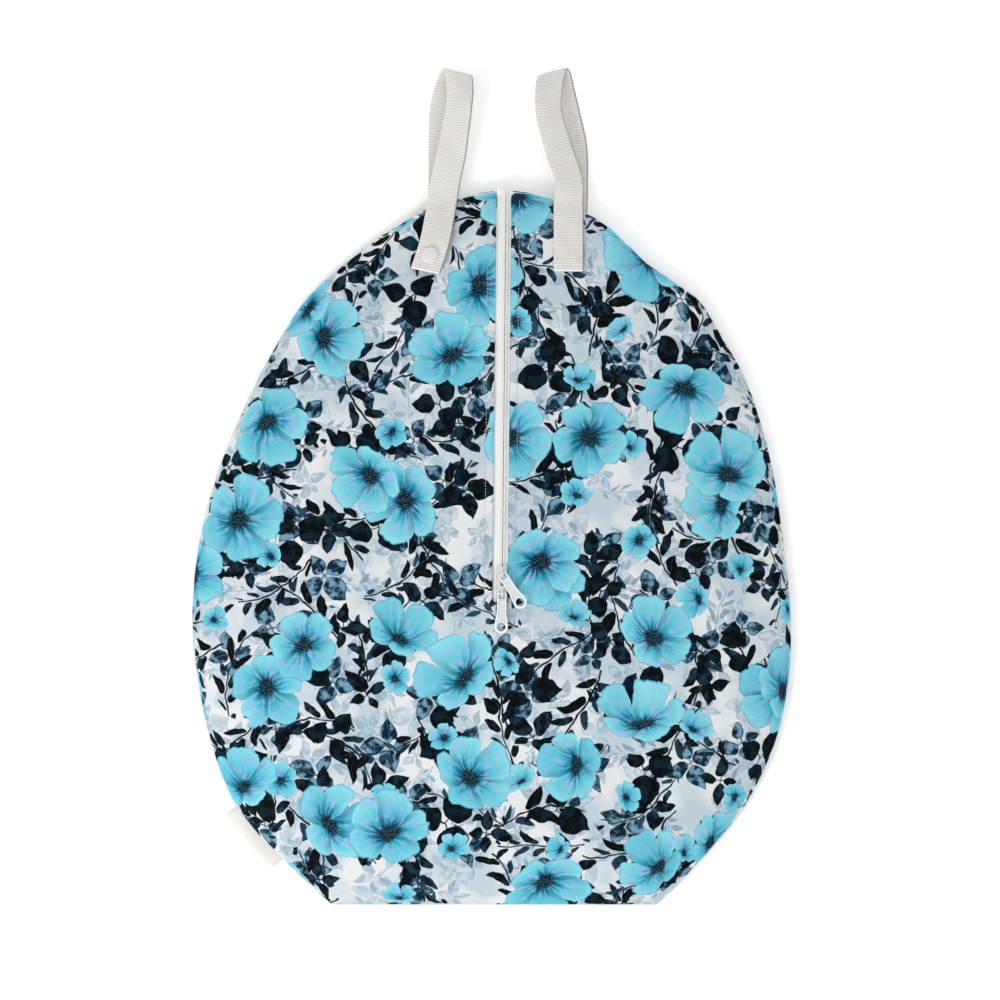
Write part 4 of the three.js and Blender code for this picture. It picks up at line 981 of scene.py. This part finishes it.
zip_rows = 1 - (1 - np.linspace(0, 1, TAPE_ROWS)[:, None]) ** 1.5       # closer at the top edge
tape_foot = SLIT_END - TAPE_BELOW
zip_rows = tape_foot + (BAG_LENGTH + ZIP_PROUD - tape_foot) * zip_rows
tapes = {}
for side, word in ((-1, "left"), (1, "right")):
    surface = tape_surface(side)
    tapes[word] = skin(f"zip_tape_{word}", surface, uv=tape_uv(surface))
    thicken(tapes[word], TAPE)

# %% The coil
COIL_PITCH, COIL_ASIDE, COIL_UP = 1.35 * MM, 1.18 * MM, 0.55 * MM
COIL_BAR = (2.15 * MM, 1.05 * MM, 1.6 * MM)         # length, width, height


def bars(name, centres, along, across, up, size, around, rings):
    """Small rounded bars, one for each centre: a half-turn of sines along the bar times a circle
    round it, stretched to a length, width and height, in each bar's own three directions."""
    theta = np.linspace(0, 2 * np.pi, around, endpoint=False)
    phi = np.linspace(-1, 1, rings) * 0.94 * np.pi / 2
    body = np.cos(phi)[:, None] ** 0.6
    long = np.broadcast_to(np.sin(phi)[:, None] * size[0] / 2, (rings, around))
    wide = body * np.cos(theta)[None, :] * size[1] / 2
    high = body * np.sin(theta)[None, :] * size[2] / 2
    shape = sum(way[None, ..., None] * direction[:, None, None, :]
                for way, direction in ((long, along), (wide, across), (high, up)))
    shape = shape + centres[:, None, None, :]
    ring, turn = (v.ravel() for v in np.mgrid[:rings - 1, :around])
    following = (turn + 1) % around
    corner = np.stack([ring * around + turn, ring * around + following,
                       (ring + 1) * around + following, (ring + 1) * around + turn], 1)
    start = np.arange(len(centres))[:, None, None] * rings * around
    faces = (corner[None] + start).reshape(-1, 4).tolist()
    cap = np.arange(around)
    faces += (cap[::-1][None] + start[:, 0]).tolist()
    faces += (cap[None] + (rings - 1) * around + start[:, 0]).tolist()
    piece = new_piece(name, shape, faces)
    work = bmesh.new()
    work.from_mesh(piece.data)
    bmesh.ops.recalc_face_normals(work, faces=work.faces)
    work.to_mesh(piece.data)
    work.free()
    return piece


coil_y = np.arange(SLIT_END + 2.5 * MM, BAG_LENGTH + ZIP_PROUD - 1 * MM, COIL_PITCH)
coil_y = np.concatenate([coil_y, coil_y + COIL_PITCH / 2])
coil_side = np.repeat([-1.0, 1.0], len(coil_y) // 2)
below, level, above = (tape_height(chain_line(v), v) for v in (coil_y - MM, coil_y, coil_y + MM))
centres = in_frame(chain_line(coil_y) + coil_side * COIL_ASIDE, coil_y, level + COIL_UP)
rise = unit_vectors(np.stack([0 * coil_y, np.full(len(coil_y), 2 * MM), above - below], 1))
aside = np.tile([1.0, 0.0, 0.0], (len(coil_y), 1))
coil = bars("nylon_coil", centres, aside, rise, unit_vectors(np.cross(aside, rise)), COIL_BAR,
            around=8, rings=5)
print("coil turns", len(coil_y))

# %% [markdown]
# The tapes are woven polyester, twilled, with two rows of chain stitch beside the coil, drawn as
# grey lines that are painted shade in their grooves. The coil is drawn nylon: the same white,
# but smooth, so it takes small highlights.

# %% Woven tape and nylon
CHAIN_STITCHES = (2.75, 4.6)        # millimetres from the chain's middle
zip_tape, tree, shader = new_material("woven_polyester_tape", Roughness=0.78)
# flat twill of fine polyester yarn: matt; the 0.6 mm twill is drawn at 1.2 mm so that it shows
tape_point = cloth_place(tree)
twill = add(tree, "TexWave", tape_point, 0.26, bands_direction="DIAGONAL").take("Fac")
tape_colour = twill.blend("#efefed", "#fbfbfa")
# painted shade: each stitch row is a grey line in its groove beside the coil
for spot in CHAIN_STITCHES:
    beside = abs(add(tree, "SeparateXYZ", tape_point).take("X") - spot)
    tape_colour = beside.between(0.15, 0.45, 0.6, 0.0).blend(tape_colour, "#bdbdb9")
tape_colour.into(shader, "Base Color")
emboss(shader, twill, 0.35, 0.0002)

# smooth monofilament: a little translucent, satin
nylon, _, _ = clouded("drawn_nylon_filament", 900.0, 2.0, "#f2f2ef", "#fcfcfa",
                      Roughness=0.32, IOR=1.53)

dress(tapes["left"], zip_tape, "zip_tape", "zipper_tape_left")
dress(tapes["right"], zip_tape, "zip_tape", "zipper_tape_right")
dress(coil, nylon, "zip_chain", "zipper_chain")

# %% [markdown]
# ## Sliders and pulls
# The two sliders and their pulls are small zinc castings with a thick coat of white enamel. The
# solids have their true shape, so they stay, and get the enamel, drawn a little grey as painted
# shade. The paint gathers in a rounder bead on the raised rim of each pull: a thin oval section
# carried along the tab's outline and round its eyelet, on both faces, in a whiter copy of the
# enamel that is a painted highlight.

# %% White enamel on zinc


def paint_solids(material, *names):
    """Give solids that stay in sight a material."""
    for name in names:
        for socket in frame["nodes"][name].material_slots:
            socket.material = material
    print(material.name, "on", len(names), "solids")


# baked enamel: glossy, faintly uneven where it flowed, and a little grey all over as painted shade
enamel, shader, flow = clouded("white_enamel_on_zinc", 240.0, 3.0, "#cccfd3", "#dcdfe1",
                               Roughness=0.22, Coat_Weight=0.4, Coat_Roughness=0.08)
emboss(shader, flow, 0.25, 0.00015)
paint_solids(enamel, "slider_upper", "slider_lower", "pull_upper", "pull_lower")

# the same paint on the raised rim, whiter and smoother: a painted highlight
highlight_enamel, _, _ = clouded("white_enamel_bead_painted_highlight", 160.0, 2.0, "#f0f2f3", "#fbfcfc",
                             Roughness=0.16, Coat_Weight=0.5, Coat_Roughness=0.05)

# %% The bead along a pull's rim
PULL_LENGTH, PULL_THICK, PULL_ROOT, PULL_WAIST = 34 * MM, 1.4 * MM, 7.6 * MM, 7.8 * MM
PULL_EYE, PULL_HOLE, RIM_INSET = 11.4 * MM, 7.6 * MM, 0.55 * MM
RIM_BEAD, EYELET_BEAD, BEAD_UP, BEAD_SUNK = 0.44 * MM, 0.42 * MM, 0.17 * MM, 0.06 * MM
EYE_MIDDLE = np.array([0.0, -(PULL_LENGTH - PULL_EYE / 2)])


def circle(start, stop, count, endpoint=True):
    """Cosine and sine of a turn, one row for each step."""
    turn = np.linspace(start, stop, count, endpoint=endpoint)
    return np.stack([np.cos(turn), np.sin(turn)], 1)


def tab_outline(inset):
    """The tab's outline in its own plane: two sides that widen by a soft step from the waist to
    the eyelet, an arc round the eyelet and a rounded root, all set in by a distance."""
    down = np.linspace(-1.0 * MM, EYE_MIDDLE[1] * 0.97, 40)
    widen = smooth((-down - 0.42 * PULL_LENGTH) / (0.40 * PULL_LENGTH))
    half = PULL_WAIST / 2 - inset + widen * (PULL_EYE - PULL_WAIST) / 2
    arc = EYE_MIDDLE + (PULL_EYE / 2 - inset) * circle(0.02, np.pi - 0.02, 36) * [1, -1]
    root = circle(0.15, np.pi - 0.15, 12) * [-(PULL_ROOT / 2 - inset), 1.6 * MM - inset]
    right, left = np.stack([half, down], 1), np.stack([-half, down], 1)[::-1]
    return np.concatenate([right, arc, left, root + [0, -1.0 * MM]])


def bead_along(path, height, wide):
    """An oval section carried round a closed flat path at a height, as a grid of rings."""
    ahead = unit_vectors(np.roll(path, -1, axis=0) - np.roll(path, 1, axis=0))
    outward = np.stack([ahead[:, 1], -ahead[:, 0]], 1)
    section = circle(0, 2 * np.pi, 10, endpoint=False)
    flat = path[:, None, :] + outward[:, None, :] * (wide * section[:, 0])[None, :, None]
    rise = np.broadcast_to(height + BEAD_UP * section[:, 1], flat.shape[:2])
    return np.concatenate([flat, rise[..., None]], axis=-1)


eyelet = EYE_MIDDLE + (PULL_HOLE / 2 + RIM_INSET) * circle(0, 2 * np.pi, 48, endpoint=False)
for joint in frame["joints"]:
    word = joint["child"].split("_")[0]
    pivot, across = np.array(joint["pos_m"]), -np.array(joint["axis"])
    node = frame["nodes"]["pull_" + word].data
    points = np.empty(3 * len(node.vertices))
    node.vertices.foreach_get("co", points)
    back_up = pivot - points.reshape(-1, 3).mean(axis=0)
    back_up = unit_vectors(back_up - across * (back_up @ across))
    axes = np.stack([across, back_up, np.cross(across, back_up)])
    for part, path, size in (("rim", tab_outline(RIM_INSET), RIM_BEAD),
                             ("eyelet", eyelet, EYELET_BEAD)):
        for face, up in (("top", 1), ("under", -1)):
            grid = bead_along(path, up * (PULL_THICK / 2 - BEAD_SUNK), size)
            bead = skin(f"{part}_{word}_{face}", grid @ axes + pivot, wrap=True, ring=True)
            # the bead takes the whiter enamel, a painted highlight on the rim
            bead.data.materials.append(highlight_enamel)
            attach(bead, joint["child"])
    print(word, "pull faces", np.round(axes[2], 2))

# %% [markdown]
# ## The snap
# The cap is pressed acetal resin: a low dome with a soft rim. It is a turned shape, a profile
# carried round an axis that leans with the cloth under it.

# %% Snap cap
CAP_FOOT = SNAP_STACK + WEBBING + FIT + 0.4 * MM
snap_x = HANDLE_LEFT + SNAP_INSET / (0.139 * HANDLE_REACH) * 0.044 * HANDLE_REACH
snap_y = STRAP_FOOT + SNAP_INSET
reach = 5 * MM
cloth_at = [float(plain_front(*spot)) for spot in crossing(snap_x, snap_y, reach)]
axis = unit_vectors(np.array([cloth_at[2] - cloth_at[1], cloth_at[4] - cloth_at[3], 2 * reach]))
cap_u = unit_vectors(np.cross([0.0, 1.0, 0.0], axis))
cap_v = np.cross(axis, cap_u)
print("snap axis", np.round(axis, 3))

# the profile: a small flat underside, a rounded rim, then a quarter of an oval up to the middle
bow = np.linspace(0, 1, 22)[1:] * np.pi / 2
cap_radius = CAP_DIAMETER / 2 * np.concatenate([[0.35, 0.90, 0.985, 1.0, 0.992, 0.965],
                                                0.965 * np.cos(bow)])
cap_radius[-1] = 0.02 * MM
cap_rise = CAP_FOOT + MM * np.concatenate([[0.05, 0.0, 0.12, 0.40, 0.66, 0.86],
                                           0.86 + (CAP_HEIGHT / MM - 0.86) * np.sin(bow)])
spin = circle(0, 2 * np.pi, 64, endpoint=False)[None] @ np.stack([cap_u, cap_v])
cap_grid = (in_frame(snap_x, snap_y, cloth_at[0]) + cap_radius[:, None, None] * spin
            + cap_rise[:, None, None] * axis)
cap = skin("snap_dome", cap_grid, wrap=True, caps=True)

# %% Acetal resin
# injection-moulded acetal: off-white, waxy, a soft broad gloss
acetal, _, _ = clouded("acetal_resin", 160.0, 3.0, "#d6d5d3", "#e2e1df", Roughness=0.34,
                       Subsurface_Weight=0.08, Subsurface_Radius=(0.002, 0.002, 0.002), IOR=1.48)
dress(cap, acetal, "snap_plastic", "snap_cap")
paint_solids(acetal, "snap_socket", "snap_stud")

# %% [markdown]
# ## The label
# A short length of satin ribbon, folded in half, with its two ends caught in the side seam. It
# stands out from the seam and follows its line; the fold at its outer edge is a soft loop.

# %% Folded ribbon in the seam
LABEL_LENGTH, LABEL_DEPTH, LABEL, LABEL_UP = 58 * MM, 10.5 * MM, 1.0 * MM, 0.101
LABEL_IN, RIBBON = 1.2 * MM, 0.25 * MM              # caught in the seam; thickness of the ribbon
LABEL_ROWS, LABEL_COLUMNS, FLAT_SHARE = 49, 30, 0.44


def seam_at(y):
    """A point of the left seam at a height up the bag."""
    return path_at(y, LEFT_EDGE[:, 1], LEFT_EDGE)


label_middle = LABEL_UP * BAG_LENGTH
below, above = seam_at(label_middle - 5 * MM), seam_at(label_middle + 5 * MM)
label_rise = (above - below)[1] / np.linalg.norm(above - below)
label_y = label_middle + np.linspace(-0.5, 0.5, LABEL_ROWS) * LABEL_LENGTH * label_rise
edge = seam_at(label_y)
along = seam_at(label_y + 3 * MM) - seam_at(label_y - 3 * MM)
outward = unit_vectors(np.stack([-along[:, 1], along[:, 0], 0 * label_y], 1))
# out along one half, round the loop and back along the other
way = np.linspace(0, 1, LABEL_COLUMNS)
flat_part = np.clip(np.where(way <= 0.5, way, 1 - way) / FLAT_SHARE, 0, 1)
loop_angle = np.clip((way - FLAT_SHARE) / (1 - 2 * FLAT_SHARE), 0, 1) * np.pi
reach_out = (-LABEL_IN + (LABEL_DEPTH + 0.45 * MM - LABEL / 2 + LABEL_IN) * flat_part
             + LABEL / 2 * np.sin(loop_angle))
wave = 0.5 * MM * np.sin(np.linspace(0, 5.5, LABEL_ROWS))
droop = 0.3 * (reach_out / LABEL_DEPTH) ** 2 * np.sign(np.clip(reach_out, 0, 1))
label_grid = in_frame(0, 0, 0) + edge[:, None, :] + reach_out[None, :, None] * outward[:, None, :]
label_grid[..., 2] += (LABEL / 2 * np.cos(loop_angle)[None, :] - droop[None, :] * edge[:, None, 2]
                       + wave[:, None] * np.clip(reach_out / LABEL_DEPTH, 0, 1)[None, :])
label_uv = np.stack(np.broadcast_arrays(np.linspace(0, 2 * LABEL_DEPTH, LABEL_COLUMNS)[None, :],
                                        np.linspace(0, LABEL_LENGTH, LABEL_ROWS)[:, None]), -1)
label = skin("seam_ribbon", label_grid[:, ::-1], uv=label_uv)
thicken(label, RIBBON)

# %% Satin ribbon
satin, tree, shader = new_material("polyester_satin_ribbon", Roughness=0.45, Sheen_Weight=0.2)
# floats of fine yarn along the ribbon: smooth and bright one way, matt the other
floats = add(tree, "TexWave", cloth_place(tree), 0.35, 0.4).take("Fac")
floats.blend("#d3d0cb", "#e1dfdb").into(shader, "Base Color")
emboss(shader, floats, 0.3, 0.0001)
dress(label, satin, "label_ribbon", "seam_label")

# %% [markdown]
# ## Stitching
# Rows of thread hold the zip and the right handle's end. Each stitch is a small rounded bar,
# about 2 mm long, that lies in the groove the thread has pulled into the cloth.

# %% Rows of stitches
# pitch, then length, width and height of a stitch
ZIP_STITCH = 2.7 * MM, (1.9 * MM, 0.5 * MM, 0.4 * MM)
HANDLE_STITCH = 2.6 * MM, (2.1 * MM, 0.7 * MM, 0.5 * MM)
HANDLE_ROWS = (10.6 * MM, 9.2 * MM)                # distances from the handle's sewn end


def row_of_stitches(path, pitch):
    """Centres and directions of stitches a pitch apart along a path on the front."""
    far = distances(path)
    stops = np.arange(pitch / 2, far[-1], pitch)
    back, centre, ahead = (path_at(stops + step * pitch, far, path) for step in (-0.3, 0, 0.3))
    return centre, unit_vectors(ahead - back)


def seam_thread(name, paths, pitch, size):
    """All the stitches of several paths as one piece."""
    centres, along = (np.concatenate(part)
                      for part in zip(*(row_of_stitches(path, pitch) for path in paths)))
    across = unit_vectors(np.cross(np.tile([0.0, 0.0, 1.0], (len(along), 1)), along))
    print(name, len(centres), "stitches")
    return bars(name, centres, along, across, unit_vectors(np.cross(along, across)), size,
                around=6, rings=4)


def on_front(x, y):
    """A path on the front cloth, a twentieth of a millimetre above it."""
    return in_frame(x, y, plain_front(x, y) + 0.05 * MM)


def across_strap(surface, distance_up):
    """A path across a strap, a distance from its sewn end, on its upper face."""
    columns = surface.shape[1]
    far = distances(surface[:, columns // 2])
    row = np.array([path_at(distance_up, far, surface[:, c]) for c in range(columns)])
    share = np.linspace(0.05, 0.95, 30) * (columns - 1)
    return path_at(share, np.arange(columns), row) + [0, 0, WEBBING / 2 + 0.30 * MM]


side_y = np.linspace(BAG_LENGTH - 7 * MM, SLIT_END - HEM + 1 * MM, 300)
zip_paths = [on_front(slit_middle(side_y) + side * (SLIT_WIDTH / 2 + HEM), side_y)
             for side in (-1, 1)]
foot_x = np.linspace(-1, 1, 40) * (SLIT_WIDTH / 2 + HEM - 1 * MM) + slit_middle(SLIT_END)
zip_paths.append(on_front(foot_x, np.full(40, SLIT_END - HEM)))
zip_thread = seam_thread("zip_thread", zip_paths, *ZIP_STITCH)
handle_paths = [across_strap(right_surface, row) for row in HANDLE_ROWS]
handle_thread = seam_thread("handle_thread", handle_paths, *HANDLE_STITCH)

# %% Thread
for piece, name, slot, dark, light in (
        (zip_thread, "spun_polyester_thread", "bag_cloth", "#b3bfc6", "#ced6da"),
        (handle_thread, "bonded_nylon_thread", "webbing", "#e6e4e1", "#f6f5f3")):
    # two plies twisted together: matt, a shade brighter than what it holds
    dress(piece, clouded(name, 1400.0, 1.0, dark, light, Roughness=0.7)[0], slot)

# %% [markdown]
# ## The light table
# A wide sheet of opal acrylic under the bag, lit faintly from below, because the white ground
# of the picture holds hardly any shadow. It is only a stage and no part of the bag.

# %% Light table
# cast acrylic with a matt face
opal_table, _, _ = clouded("opal_acrylic_light_table", 3.0, 2.0, "#fbfbfb", "#f6f6f6",
                           Roughness=0.9, Emission_Color=ink("#ffffff"),
                           Emission_Strength=TABLE_GLOW)
corner = np.array([[(-4, -4, 0), (4, -4, 0)], [(-4, 4, 0), (4, 4, 0)]], dtype=float)
floor = skin("floor", corner)
floor.data.materials.append(opal_table)
print("table 8 m wide")
